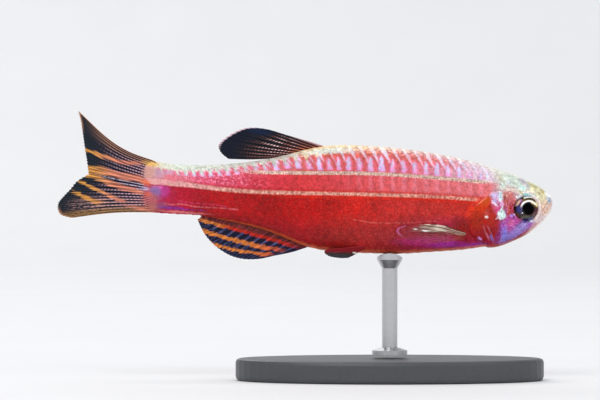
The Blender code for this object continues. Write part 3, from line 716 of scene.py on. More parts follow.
HEAD_PATCHES = (
    # centre, radii, lean in degrees, softness, strength, colour
    # crown
    ((31.95, 2.3), (0.7, 0.42), -36, 0.5, 0.85, (204, 202, 176)),
    ((33.25, 1.95), (1.05, 0.5), -24, 0.5, 0.85, (198, 216, 202)),
    ((32.6, 2.05), (0.48, 0.13), -56, 0.5, 0.9, (230, 236, 224)),
    ((32.15, 1.62), (0.42, 0.28), -10, 0.5, 0.85, (202, 224, 212)),
    ((32.85, 1.84), (0.24, 0.16), 0, 0.5, 0.7, (214, 222, 232)),
    ((31.45, 1.55), (0.52, 0.6), 10, 0.5, 0.85, (208, 182, 184)),
    ((31.45, 1.5), (0.16, 0.16), 0, 0.5, 0.7, (178, 140, 146)),
    ((34.12, 1.98), (0.46, 0.17), -26, 0.5, 0.85, (172, 162, 180)),
    ((34.2, 1.66), (0.18, 0.09), -8, 0.5, 0.8, (222, 182, 188)),
    ((34.66, 1.52), (0.22, 0.18), -30, 0.5, 0.95, (150, 158, 190)),
    # snout
    ((35.45, 1.15), (0.95, 0.5), -40, 0.5, 0.9, (216, 210, 158)),
    ((35.1, 1.56), (0.52, 0.14), -30, 0.5, 0.85, (184, 180, 124)),
    ((35.85, 0.45), (0.55, 0.85), 10, 0.5, 0.85, (232, 226, 184)),
    ((35.93, 1.02), (0.3, 0.13), -55, 0.5, 0.9, (182, 162, 92)),
    ((35.78, 0.3), (0.16, 0.62), 8, 0.6, 0.7, (214, 200, 140)),
    ((35.52, 0.42), (0.24, 0.26), 0, 0.5, 0.8, (252, 248, 218)),
    ((35.7, -1.15), (0.8, 0.6), 40, 0.5, 0.9, (228, 210, 202)),
    ((36.25, -0.5), (0.72, 0.8), 16, 0.5, 0.9, (242, 212, 184)),
    ((35.98, -0.62), (0.22, 0.3), 0, 0.6, 0.6, (240, 186, 150)),
    # chin
    ((35.5, -1.8), (1.0, 0.3), 42, 0.5, 0.9, (236, 220, 216)),
    # lips: the first is a painted highlight
    ((36.45, 0.72), (0.34, 0.14), -40, 0.5, 0.9, (252, 252, 252)),
    ((36.52, 0.26), (0.2, 0.32), 14, 0.5, 0.85, (176, 200, 224)),
    # cheek
    ((32.6, -2.6), (1.1, 1.1), 0, 0.5, 0.9, (152, 76, 188)),
    ((33.1, -1.95), (0.7, 0.9), 0, 0.5, 0.95, (190, 66, 162)),
    ((33.02, -1.75), (0.3, 0.24), 10, 0.6, 0.8, (222, 90, 150)),
    ((34.15, -2.1), (1.05, 0.42), 30, 0.5, 0.9, (142, 134, 210)),
    ((34.15, -1.98), (0.26, 0.14), 20, 0.6, 0.7, (184, 162, 236)),
    # jaw
    ((32.9, -2.98), (1.3, 0.34), 22, 0.5, 0.9, (138, 118, 208)),
    # ridge before the gill cover
    ((32.42, -2.8), (0.26, 0.66), -6, 0.5, 0.85, (116, 118, 212)),
    # jaw
    ((34.75, -1.98), (0.32, 0.14), 30, 0.6, 0.85, (176, 88, 188)),
    ((35.1, -2.02), (0.32, 0.15), 40, 0.5, 0.6, (206, 136, 150)),
    # under the eye: a painted shadow
    ((34.3, -1.66), (0.52, 0.13), 4, 0.5, 0.9, (60, 48, 122)),
    # jaw: a painted highlight
    ((34.9, -1.64), (0.16, 0.11), 0, 0.5, 1.0, (216, 230, 255)),
    # gill cover
    ((29.7, -1.7), (0.9, 2.0), -20, 0.5, 1.0, (172, 14, 8)),
    ((31.25, -2.1), (0.75, 1.45), 0, 0.4, 1.0, (164, 26, 40)),
    ((30.4, -2.7), (1.1, 1.1), 20, 0.5, 0.95, (160, 6, 16)),
    ((30.2, -3.7), (1.0, 0.26), 4, 0.5, 0.85, (156, 6, 84)),
    ((31.85, -3.15), (0.26, 0.46), 0, 0.5, 0.8, (150, 26, 110)),
    ((31.0, -0.9), (0.95, 1.2), 0, 0.4, 1.0, (176, 34, 20)),
    ((30.7, -0.9), (0.26, 0.44), 0, 0.6, 0.45, (200, 92, 82)),
    ((30.28, -0.35), (0.52, 1.25), -38, 0.3, 1.0, (212, 50, 2)),
    ((30.75, 0.15), (0.26, 0.5), -42, 0.5, 0.9, (216, 78, 18)),
    ((29.95, -1.55), (0.55, 0.85), 0, 0.5, 0.9, (170, 34, 2)),
    ((30.62, -1.72), (0.2, 0.14), 0, 0.5, 0.8, (196, 14, 8)),
    ((31.75, -1.2), (0.1, 0.4), 0, 0.5, 0.7, (130, 10, 30)),
    # ridge before the gill cover
    ((31.6, 0.15), (0.4, 0.95), 6, 0.5, 0.95, (220, 104, 140)),
    ((31.85, -0.65), (0.24, 0.55), 0, 0.5, 0.85, (206, 72, 132)),
    # temple
    ((32.85, 0.35), (0.62, 0.8), 10, 0.4, 0.95, (212, 108, 104)),
    ((33.45, 0.62), (0.26, 0.36), 20, 0.5, 0.85, (206, 144, 156)),
    ((32.75, -0.45), (0.48, 0.7), 8, 0.45, 0.95, (184, 70, 58)),
    ((33.08, -0.5), (0.22, 0.62), 6, 0.5, 0.95, (160, 8, 28)),
    ((33.34, -0.55), (0.12, 0.6), 0, 0.5, 0.9, (92, 20, 12)),
    ((32.4, 0.42), (0.12, 0.18), 0, 0.5, 0.8, (150, 54, 50)),
    ((32.58, 0.66), (0.12, 0.12), 0, 0.5, 0.8, (252, 196, 172)),
    # gill cover
    ((31.55, 0.62), (0.42, 0.34), -10, 0.4, 0.9, (214, 196, 238)),
    ((31.75, 0.42), (0.2, 0.14), 0, 0.5, 0.8, (244, 184, 226)),
    # ridge before the gill cover
    ((32.02, 0.55), (0.2, 0.52), 4, 0.4, 0.95, (212, 240, 248)),
    ((32.03, 0.52), (0.07, 0.1), 0, 0.5, 0.8, (130, 170, 172)),
    ((31.55, 0.15), (0.26, 0.12), -20, 0.5, 0.85, (172, 176, 228)),
    ((31.48, -0.05), (0.4, 0.09), -42, 0.4, 1.0, (255, 228, 250)),
    ((32.12, -0.1), (0.22, 0.26), 0, 0.5, 0.85, (242, 176, 224)),
    ((32.14, -0.62), (0.1, 0.42), -6, 0.35, 0.95, (216, 240, 250)),
    # a painted highlight on the ridge
    ((32.12, -1.06), (0.36, 0.44), -8, 0.3, 1.0, (226, 255, 246)),
    ((32.13, -0.74), (0.06, 0.12), -20, 0.5, 0.9, (96, 128, 148)),
    ((31.84, -1.3), (0.22, 0.09), 30, 0.4, 0.9, (250, 206, 230)),
    ((32.5, -0.85), (0.08, 0.5), 0, 0.5, 0.8, (150, 96, 170)),
    # cheek
    ((33.05, -1.12), (0.18, 0.12), 20, 0.5, 0.9, (160, 134, 236)),
    ((33.27, -1.05), (0.11, 0.08), 30, 0.5, 0.9, (246, 204, 244)),
    ((33.24, -1.32), (0.1, 0.1), 0, 0.5, 0.95, (52, 26, 112)),
    # brow
    ((34.06, 1.34), (0.3, 0.28), -10, 0.6, 0.8, (200, 240, 232)),
    ((34.97, 1.2), (0.2, 0.17), -30, 0.5, 0.95, (255, 248, 196)),
    ((34.5, 0.98), (0.62, 0.1), 4, 0.5, 0.9, (250, 236, 226)),
    ((34.52, 0.74), (0.66, 0.15), -6, 0.5, 0.95, (128, 190, 198)),
    # a painted highlight
    ((34.6, 0.66), (0.1, 0.1), 0, 0.5, 0.85, (226, 255, 244)),
    ((33.92, 0.94), (0.12, 0.26), 34, 0.5, 0.8, (210, 196, 130)),
    ((33.72, 0.5), (0.25, 0.34), 26, 0.4, 0.85, (150, 140, 140)),
    # three painted highlights: white glints in streaks over the brow
    ((33.6, 0.42), (0.065, 0.24), 26, 0.4, 1.0, (252, 252, 252)),
    ((33.76, 0.54), (0.060, 0.25), 26, 0.4, 1.0, (252, 252, 252)),
    ((33.92, 0.62), (0.060, 0.22), 26, 0.4, 1.0, (252, 252, 252)),
    # gill cover: a painted highlight
    ((30.76, -1.27), (0.15, 0.13), -30, 0.4, 1.0, (255, 226, 222)),
    # chest: a painted highlight
    ((30.18, -3.22), (0.22, 0.12), -30, 0.5, 0.9, (212, 150, 230)),
)
THREADS = (
    # line of the side view, half width, strength, how whole, colour
    # crown
    (((31.15, 1.12), (31.8, 1.13), (32.3, 1.16)), 0.07, 0.75, 1.0, (180, 130, 140)),
    (((32.35, 1.72), (32.6, 1.5), (32.9, 1.38), (33.7, 1.34)), 0.06, 0.75, 0.7, (204, 158, 160)),
    (((32.3, 1.1), (33.0, 1.18), (33.5, 1.22)), 0.07, 0.7, 1.0, (232, 216, 204)),
    (((31.8, 2.45), (32.1, 2.1), (32.35, 1.75)), 0.07, 0.6, 1.0, (190, 172, 148)),
    # nape
    (((31.2, 2.95), (31.35, 2.5), (31.3, 2.1)), 0.07, 0.7, 1.0, (226, 210, 216)),
    (((30.8, 2.75), (30.92, 2.5), (30.88, 2.15)), 0.09, 0.85, 1.0, (204, 222, 246)),
    # gill cover
    (((29.85, -0.2), (30.3, 0.12), (30.85, 0.55)), 0.06, 0.85, 0.6, (250, 146, 110)),
    (((30.45, -1.95), (30.72, -2.75), (31.08, -3.45)), 0.08, 0.8, 1.0, (186, 84, 96)),
    (((30.8, -2.7), (31.12, -3.4)), 0.05, 0.8, 0.8, (220, 120, 170)),
    (((30.8, -1.95), (31.1, -2.6), (31.42, -3.2)), 0.06, 0.8, 0.8, (196, 92, 116)),
    (((30.98, -2.1), (31.32, -2.75), (31.66, -3.2)), 0.05, 0.6, 1.0, (120, 20, 30)),
    (((31.1, -2.8), (31.42, -3.55)), 0.12, 0.85, 1.0, (120, 100, 186)),
    # edge of the gill cover
    (((29.62, -2.85), (30.2, -3.35), (30.75, -3.8)), 0.07, 0.6, 1.0, (120, 4, 30)),
    # throat
    (((30.9, -4.0), (31.8, -3.94), (33.0, -3.6), (33.9, -3.16), (34.6, -2.74)),
     0.14, 0.95, 1.0, (168, 62, 28)),
    # chin
    (((34.6, -2.78), (35.2, -2.36), (35.7, -1.92), (36.4, -1.12), (36.8, -0.45)),
     0.12, 0.9, 1.0, (250, 238, 234)),
    # snout: a painted highlight along the tip's edge
    (((36.35, 0.88), (36.75, 0.45), (36.9, 0.05), (36.7, -0.55)), 0.1, 0.85, 1.0, (252, 250, 248)),
    # side line
    (((18.6, -1.46), (20.3, -1.74), (22.5, -1.8), (26.4, -1.62)), 0.06, 0.42, 0.1, (220, 110, 100)),
    # tail stalk
    (((1.6, -0.02), (2.4, -0.14), (3.4, -0.12), (4.6, -0.34), (6.2, -0.42), (8.4, -0.62)),
     0.07, 0.46, 0.3, (216, 120, 134)),
    (((2.8, 0.2), (4.2, 0.02), (5.6, -0.1), (7.4, -0.34)), 0.05, 0.3, 0.2, (200, 90, 150)),
    (((0.8, -0.42), (2.2, -0.46), (3.6, -0.58), (5.6, -0.72)), 0.06, 0.7, 0.3, (128, 50, 160)),
    # root of the tail fin
    (((-0.2, 1.74), (0.9, 1.64), (2.2, 1.5), (3.6, 1.3)), 0.06, 0.7, 0.7, (178, 36, 50)),
)
print(len(HEAD_PATCHES), "patches on the head")

# %% The skin's paint
skin_paint = Paint("danio_skin", Coat_Roughness=0.15, Specular_IOR_Level=0.14)
p = skin_paint
up, depth, tally = p.held("height"), p.held("depth"), p.held("tally")
wander = p.noise(1.6, 3.0) - 0.5
drift = p.noise(2.3, 3.0, shift=(7, 3, 5)) - 0.5
x = p.x + wander * 0.34
z = p.z + drift * 0.30
grain = p.noise(4.2, 3.0)
fine = p.noise(8.5, 2.0)
above_upper = p.z - p.curve(p.x, UPPER_STRIPE) + (fine - 0.5) * 0.12
above_lower = p.z - p.curve(p.x, LOWER_STRIPE) + (fine - 0.5) * 0.14

tint = p.ramp(x, 0, TRUNK_END, FLANK_TINTS)
# darker towards the belly: its own colour and painted shade
tint = p.mix(tint, p.ramp(x, 0, TRUNK_END, BELLY_TINTS_AND_SHADE), p.rise(-0.7 - z, 0.0, 2.2))
tint = p.mix(tint, p.ramp(x, 0, TRUNK_END, BAND_TINTS), p.rise(above_lower, -0.10, 0.55))
tint = p.mix(tint, p.ramp(x, 0, TRUNK_END, BACK_TINTS), p.rise(above_upper, -0.12, 0.12))
bars = p.fall(p.maths("PINGPONG", tally + wander * 0.5, 0.5) + (grain - 0.5) * 0.5, 0.05, 0.30)
bars = bars * p.rise(p.x, 17.0, 22.0) * p.rise(above_lower, 0.2, 0.6) * p.fall(above_upper, -0.3, 0.0)
tint = p.mix(tint, (240, 140, 158), bars * 0.45)
fire = p.fall(abs(above_lower + 0.10), 0.22, 0.46) * p.rise(p.x, 8.0, 16.0)
tint = p.mix(tint, (214, 28, 2), fire * 0.75)
print("the flank, band and back are mixed")

# %% [markdown]
# ## Pearly marks
# Above the upper stripe the scales flash in two rows: a row of leaning strokes that come down from the ridge,
# and a row of upright wedges below it, one of each to a scale. Their place is given by two numbers that the
# mesh carries: the tally of scales from the tail, and the depth below the ridge, which is 1 at the stripe. A
# triangle wave of the tally gives the distance to the nearest mark.

# %% Marks, ridge and stripes
ragged = (fine - 0.5) * 0.24 + (grain - 0.5) * 0.20
lean = tally + wander * 0.42 - depth * 1.30
stroke_luck = p.luck(lean)
to_stroke = p.maths("PINGPONG", lean, 0.5)
stroke = p.fall(to_stroke + ragged + depth * 0.24 - stroke_luck * 0.07, 0.13, 0.27)
stroke = stroke * p.fall(depth + (stroke_luck - 0.5) * 0.30, 0.50, 0.80) * (0.50 + stroke_luck * 0.50)
upright = tally + drift * 0.46 - p.fall(p.x, 15.0, 19.0) * depth * 0.6
wedge_luck = p.luck(upright)
to_wedge = p.maths("PINGPONG", upright, 0.5)
in_row = p.rise(depth + (wedge_luck - 0.5) * 0.20, 0.34, 0.50) * p.fall(depth, 0.88, 1.02)
wedge = p.fall(to_wedge + ragged - depth * 0.30 - wedge_luck * 0.06, -0.14, 0.02)
wedge = wedge * in_row * (0.55 + wedge_luck * 0.45)
glow = p.fall(to_wedge + ragged - depth * 0.22, 0.04, 0.26) * in_row
on_back = p.rise(above_upper + p.fall(p.x, 7.0, 10.0) * 1.0, 0.05, 0.30) * p.rise(p.x, 1.6, 3.2)
on_back = on_back * p.fall(p.x, 30.9, 31.7)
cells = p.fall(depth, 0.42, 0.72) * p.rise(p.x, 13.0, 19.0) * p.fall(p.x, 26.0, 30.0) * on_back
tint = p.mix(tint, p.mix((186, 92, 78), (226, 96, 78), p.rise(grain, 0.4, 0.6)), cells * 0.62)
tint = p.mix(tint, (236, 126, 168), glow * on_back * 0.62)
stroke_tint = p.mix((236, 230, 254), (240, 200, 232), p.rise(depth, 0.20, 0.62))
tint = p.mix(tint, stroke_tint, stroke * on_back * 0.92)
low_in_row = p.rise(depth + (grain - 0.5) * 0.9, 0.66, 0.98)
wedge_tint = p.mix((214, 216, 254), (232, 166, 232), low_in_row)
tint = p.mix(tint, wedge_tint, wedge * on_back * 0.95)
dots = p.rise(fine + (grain - 0.5) * 0.5, 0.50, 0.62) * p.rise(above_lower, 0.3, 0.6)
tint = p.mix(tint, (240, 164, 192), dots * p.fall(p.x, 7.5, 12.0) * p.rise(p.x, 1.5, 4.0) * 0.50)
RIDGE_DEPTH = ((-0.5, 0.42), (5.0, 0.44), (7.5, 0.32), (10.0, 0.22), (13.0, 0.18), (16.0, 0.20), (18.0, 0.13),
               (24.0, 0.08), (36.9, 0.08))
teeth = p.fall(to_wedge + ragged, 0.02, 0.26) * p.fall(p.x, 14.0, 17.0)
band_edge = p.curve(p.x, RIDGE_DEPTH) + teeth * 0.42 + (grain - 0.5) * 0.40 + (fine - 0.5) * 0.40
ridge = p.rise(band_edge - depth, -0.20, 0.12)
# the top line of each section joins the pearly ridge as a painted rim highlight
ridge = p.maths("MAXIMUM", ridge, p.rise(up, 0.93, 0.97)) * p.rise(p.x, 0.2, 0.9)
tint = p.mix(tint, p.ramp(p.x, 0, SNOUT, RIDGE_TINTS), ridge * 0.9)
mint = p.fall(abs(depth - 0.20), 0.06, 0.16) * p.rise(p.x, 13.5, 15.5) * p.fall(p.x, 17.0, 20.0)
tint = p.mix(tint, (212, 222, 212), mint * 0.8)
tint = p.mix(tint, (255, 250, 240), stroke * ridge * p.rise(p.x, 14.0, 20.0, 0.85))
tint = p.mix(tint, (240, 244, 236), ridge * p.rise(fine, 0.50, 0.64) * p.fall(p.x, 12.0, 17.0, 0.5))
upper = p.fall(abs(above_upper), 0.11, 0.21) * p.rise(p.x + (fine - 0.5) * 3.0, 7.5, 11.5)
upper = upper * p.fall(p.x, 30.2, 31.6)
tint = p.mix(tint, p.mix((186, 148, 134), (226, 204, 186), p.rise(fine, 0.38, 0.60)), upper * 0.88)
half = p.curve(p.x, ((-0.6, 0.30), (1.5, 0.30), (4.0, 0.22), (9.0, 0.18), (36.9, 0.18)))
lower = p.fall(abs(above_lower) - half, -0.10, 0.08) * p.rise(p.x, -0.3, 0.3) * p.fall(p.x, 29.6, 30.8)
speckle = p.rise(fine + p.fall(p.x, 22.0, 28.0) * 0.20, 0.44, 0.56)
lower_tint = p.mix((212, 128, 114), (232, 182, 162), p.rise(grain, 0.34, 0.64))
lower_tint = p.mix(lower_tint, (240, 178, 176), p.fall(p.x, 3.0, 9.0, 0.85))
tint = p.mix(tint, lower_tint, lower * (0.54 + speckle * 0.36))
print("marks, ridge and stripes are on")

# %% [markdown]
# The trunk's patches and the head's are ellipses of the side view, laid one over the other. Noise pushes
# their edges about, so that none reads as an ellipse. Where the tail fin's rays begin, the skin is dark
# between them.

# %% The patches
FIRST_RAY_HEIGHT = 3.72
RAYS_PER_MM = 4.81
LID_RADIUS = 1.25
spot = p.side(x, z)
tint = p.patches(tint, spot, PATCHES)
belly_edge = p.rise(0 - up + (grain - 0.5) * 0.05, 0.91, 0.98) * p.rise(p.x, 5.0, 8.0)
tint = p.mix(tint, (214, 96, 50), belly_edge * 0.85)
tint = p.patches(tint, spot, ROOT_PATCHES)
to_ray = p.maths("PINGPONG", (FIRST_RAY_HEIGHT - p.z) * RAYS_PER_MM + p.x * 0.9, 0.5)
between = p.rise(to_ray, 0.20, 0.42)
between = between * p.rise(p.fall(p.z, 0.0, 1.0, 0.45) - p.x + (grain - 0.5) * 0.6, -0.10, 0.45)
tint = p.mix(tint, (70, 34, 50), between * 0.85)
on_head = p.held("head")
head_tint = p.ramp(up, -1, 1, HEAD_TINTS)
rough = p.noise(7.0, 3.0, shift=(3, 9, 4))
spot = p.side(p.x + wander * 0.16 + (fine - 0.5) * 0.34, p.z + drift * 0.16 + (rough - 0.5) * 0.34)
head_tint = p.patches(head_tint, spot, HEAD_PATCHES)
flecks = p.rise(p.noise(10.0, 2.0, shift=(1, 2, 6)), 0.50, 0.66)
cheek = p.fall(up, -0.1, 0.35) * p.rise(p.x, 31.7, 32.3)
head_tint = p.mix(head_tint, (236, 190, 250), flecks * cheek * 0.40)
head_tint = p.mix(head_tint, (244, 246, 244), flecks * p.rise(up, 0.1, 0.5) * 0.35)
ex, ez = p.x - EYE_CENTRE[0], p.z - EYE_CENTRE[1]
from_lid = p.distance(ex, ez) - LID_RADIUS + (fine - 0.5) * 0.06
lid = p.fall(abs(from_lid), 0.07, 0.16) * p.rise(ex + ez * 0.1, 0.25, 0.75)
head_tint = p.mix(head_tint, (248, 232, 230), lid * 0.85)
head_tint = p.scaled(head_tint, 0.52 + rough * 0.88)
tint = p.mix(tint, head_tint, on_head)
print("the head is mixed")

# %% [markdown]
# Threads are the fine lines: rims and creases that are too narrow for a patch, and a few broken ones on the
# tail stalk. Each follows a curve of the side view, and noise makes it tremble and lets it fade in and out.

# %% The threads
tremble, jitter, broken = wander * 0.16, (fine - 0.5) * 0.08, p.rise(grain, 0.42, 0.54)


def thread_mask(line, width, strength, whole):
    """Strength on a thin line of the side view, a steep one drawn as x over z; noise breaks one not whole."""
    spans = [abs(line[0][i] - line[-1][i]) for i in (0, 1)]
    steep = spans[1] > spans[0]
    along, across = (p.z, p.x) if steep else (p.x, p.z)
    drawn = [(b, a) if steep else (a, b) for a, b in line]
    low, high = min(drawn)[0], max(drawn)[0]
    gap = abs(across - p.curve(along, drawn) + tremble) + jitter
    run = p.rise(along, low - 0.1, low + 0.3) * p.fall(along, high - 0.3, high + 0.1)
    mask = p.fall(gap, width * 0.5, width * 1.5, strength) * run
    return mask if whole == 1 else mask * whole + mask * broken * (1 - whole)


for line, width, strength, whole, shade in THREADS:
    tint = p.mix(tint, shade, thread_mask(line, width, strength, whole))
print(len(THREADS), "threads are on")

# %% [markdown]
# Last come the fine things that make it read as skin: creases and the scales' rims get painted shade,
# fluorescent grain is dusted over all, soft clouds shade the flank, and the gloss is broken up, so that
# highlights sparkle instead of sliding over the fish as on a toy.

# %% Grain and gloss
# painted shade: the creases, the orbit's edge and the scales' rear rims are darkened
tint = p.mix(tint, p.scaled(tint, 0.45), p.held("crease"))
dust = p.rise(p.noise(12.0, 2.0), 0.52, 0.70)
tint = p.mix(tint, (246, 130, 116), dust * (0.12 + p.rise(p.x, 14.0, 22.0, 0.10) - on_head * 0.12))
texture = p.rise(grain, 0.30, 0.70, 0.34) + p.rise(fine, 0.32, 0.68, 0.26) + wander * 0.4 - 0.34
cloud = (p.noise(0.45, 3.0) - 0.5) * p.fall(above_lower, -0.4, 0.1) * (1 - on_head)
tint = p.scaled(tint, 1 + cloud * 0.9 + texture * (1 - p.fall(p.x, 1.0, 4.5, 0.65)))
p.feed(Base_Color=tint, Roughness=0.36 + grain * 0.16, Coat_Weight=0.05 + dust * 0.30)
p.bump(grain * 0.5 + fine * 0.5, 0.030, 0.35)
print("skin paint has", len(p.tree.nodes), "nodes")

# %% [markdown]
# ## One skin
# The solids are parted with thin cuts, but a live fish has one skin. It is the body's own surface with the
# head's relief, on a grid that is fine over the head and coarser behind. It carries five numbers for the
# paint: how far up the section a point lies, whether it is on the head, how much painted shade a crease gives
# it, how far below the ridge of the back, and the tally of scales from the tail.

# %% Numbers for the paint
SCALE_PITCH = ((0.0, 0.70), (6.0, 0.76), (10.0, 0.90), (14.0, 1.00), (31.0, 1.00), (36.9, 1.0))
MARK_DEPTH = ((0.0, 1.0), (5.0, 1.15), (9.4, 1.15), (13.0, 1.4), (15.8, 2.3), (20.0, 2.56), (27.5, 2.1),
              (30.3, 1.75), (36.9, 1.4))
MARK_START = 19.3
along_body = np.linspace(0.0, SNOUT, 3000)
pitch = np.interp(along_body, *np.array(SCALE_PITCH).T)
counted = np.concatenate([[0], np.cumsum(np.diff(along_body) / pitch[:-1])])
counted += math.ceil(np.interp(MARK_START, along_body, counted)) - np.interp(MARK_START, along_body, counted)
BODY_ROWS, HEAD_ROWS = 84, 216
HEAD_SHARE = 16 / 24
SKIN_COLUMNS = 288


def skin_numbers(points, turn):
    """The numbers that the paint reads.

    height is the sine of the turn. head goes from 0 to 1 over a blend that widens up the nape. crease is
    the strongest painted shade of all creases there. depth is the drop from the back, 1 at the stripe. tally
    counts scales.
    """
    x, _, z = np.moveaxis(points, -1, 0)
    ahead = ahead_of_edge(x, z)
    orbit = np.hypot(x - EYE_CENTRE[0], z - EYE_CENTRE[1])
    crease_shades = (
        0.30 * bell(line_gap(x, z, MOUTH_LINE), 0.05),
        0.10 * bell(ahead + 0.08, 0.07) * (1 - rise(z, 0.4, 0.9)),
        0.25 * bell(line_gap(x - 0.07, z, CHEEK_RIDGE), 0.06),
        0.12 * bell(line_gap(x, z, LIP_FOLD), 0.06),
        0.75 * bell(np.hypot(x - NOSTRIL[0], z - NOSTRIL[1]), 0.11),
        0.60 * (1 - rise(orbit, EYE_RADIUS - 0.04, EYE_RADIUS + 0.03)),
    )
    blend = 0.05 + 0.75 * rise(z, 0.9, 1.7)
    return {
        "height": np.sin(turn) + 0 * x,
        "head": rise(ahead, -blend, blend),
        "crease": np.max(crease_shades, axis=0),
        "depth": (section_at(x)[0] - z) / np.interp(x, *np.array(MARK_DEPTH).T),
        "tally": np.interp(x, along_body, counted),
    }


# %% Build the skin
row_share = np.concatenate(
    [np.linspace(0, HEAD_SHARE, BODY_ROWS, endpoint=False)[1:], np.linspace(HEAD_SHARE, 1, HEAD_ROWS)[:-1]]
)
turns = np.linspace(0, 2 * math.pi, SKIN_COLUMNS, endpoint=False)
share, turn = np.meshgrid(row_share, turns, indexing="ij")
plain = body(share, turn)
formed = plain + outward(share, turn) * relief(plain)[..., None]
numbers = skin_numbers(plain, turn)
tail_pole, snout_pole = body(np.array([0.0, 1.0]), np.array([0.0, 0.0]))
points = np.vstack([tail_pole, formed.reshape(-1, 3), snout_pole])
held = {
    key: np.concatenate([[0], value.ravel(), [1.0 if key == "head" else 0]]) for key, value in numbers.items()
}
skin = piece("skin", place(points), wrapped_faces(*share.shape), skin_paint, held=held)

# %% [markdown]
# ## Scales
# A danio has about thirty scales along its side, set in rows that are offset by half a scale, each covering
# the next one's root. A scale is a round plate: its front is sunk in the skin and its rear edge stands free.
# All are worked out at once, as one array: row, place in the row, and the plate's own two parameters.

# %% Lattice of scales
ROWS_OF_SCALES = 10
SCALE_GRID = 5
SCALE_LIFT = 0.042
SCALE_SINK = 0.030
SCALE_DEPTH = 0.03
SCALE_THICKNESS = 0.014
SCALE_REACH = 0.86
SCALE_SPREAD = 0.64
FIRST_SCALE = 0.9
SCALES_START = 0.16
RIM_SHADE = 0.26
MID_BODY = 22.0
SIDES = (("right", -1), ("left", 1))
half_turn = np.linspace(-math.pi / 2, math.pi / 2, 2000)
ring = body(share_at(MID_BODY) + 0 * half_turn, half_turn)
girth = np.concatenate([[0], np.cumsum(np.linalg.norm(np.diff(ring, axis=0), axis=1))])
row_turns = np.interp((np.arange(ROWS_OF_SCALES) + 0.5) / ROWS_OF_SCALES * girth[-1], girth, half_turn)
row_gaps = np.gradient(row_turns)
print("rows of scales are", round(girth[-1] / ROWS_OF_SCALES, 2), "mm apart at mid body")


def scale_plates(side, seed):
    """Every scale of one side as plates, with their maps and numbers.

    A disc's two parameters come from a square's: each is shortened by the root of 1 minus half the other
    squared. The lift off the skin grows from root to rim, and alternate rows are offset by half a scale.
    """
    rng = np.random.default_rng(seed)
    places = np.arange(math.ceil(counted[0]), counted[-1], 1.0)
    row, spot = np.meshgrid(np.arange(ROWS_OF_SCALES), places, indexing="ij")
    spot = spot + 0.5 * (row % 2)
    x = np.interp(spot, counted, along_body).ravel()
    row = row.ravel()
    turn = row_turns[row] + rng.normal(0, 0.006, x.size)
    x = x + rng.normal(0, 0.02, x.size)
    size = np.interp(x, *np.array(SCALE_PITCH).T)
    middle = body(share_at(x), turn)
    keep = (ahead_of_edge(middle[:, 0], middle[:, 2]) < -0.30 * size) & (x > FIRST_SCALE)
    x, turn, size, row = x[keep], turn[keep], size[keep], row[keep]
    a, b = np.meshgrid(*[np.linspace(-1, 1, SCALE_GRID)] * 2, indexing="ij")
    across, along = a * np.sqrt(1 - b * b / 2), b * np.sqrt(1 - a * a / 2)
    across, along = across.ravel()[None], along.ravel()[None]
    reach = SCALE_REACH * size
    turns = turn[:, None] + across * SCALE_SPREAD * row_gaps[row][:, None]
    xs = np.clip(x[:, None] + along * reach[:, None], SCALES_START, None)
    base = body(share_at(xs), turns)
    normal = outward(share_at(xs), turns)
    trail = (1 - along) / 2
    lift = SCALE_LIFT * trail**1.5 - SCALE_SINK * (1 - trail) - SCALE_DEPTH
    lift = lift + rng.normal(0, 0.004, x.size)[:, None]
    front = base + normal * lift[..., None]
    back = base + normal * (lift - SCALE_THICKNESS)[..., None]
    sheet = np.concatenate([front, back], axis=1)
    sheet[..., 1] *= side
    count, corners = len(x), across.size
    one = plate_faces(SCALE_GRID, SCALE_GRID)[0]
    faces = (one[None] + (np.arange(count) * 2 * corners)[:, None, None]).reshape(-1, 4)
    local = np.stack([(across + 1) / 2, (along + 1) / 2], axis=-1) + np.zeros((count, 1, 1))
    root = np.stack([x / 40, 0.25 + side * 0.2 + turn / 20], axis=-1)[:, None]
    bake = root + 0.003 * (local - 0.5)
    numbers = skin_numbers(base, turns)
    # painted shade on the rear rim of each scale
    numbers["crease"] = RIM_SHADE * rise(trail, 0.70, 1.0) + 0 * numbers["crease"]
    maps = {"OFBake": np.concatenate([bake, bake], axis=1)}
    held = {key: np.concatenate([value, value], axis=1) for key, value in numbers.items()}
    return place(sheet), [faces], maps, held


# %% Build the scales of both sides
scales = []
for (side_name, side), seed in zip(SIDES, (5, 6)):
    points, faces, maps, held = scale_plates(side, seed)
    scales.append(piece("scales_" + side_name, points, faces, skin_paint, maps, held, sharp=40))

# %% [markdown]
# ## Eyes
# The eye is a flattened ball that fills its orbit and stands a little proud. Its iris has a gold crescent
# ahead, a pale arc above the pupil, and violet behind and below. A clear coat gives the wet cornea.

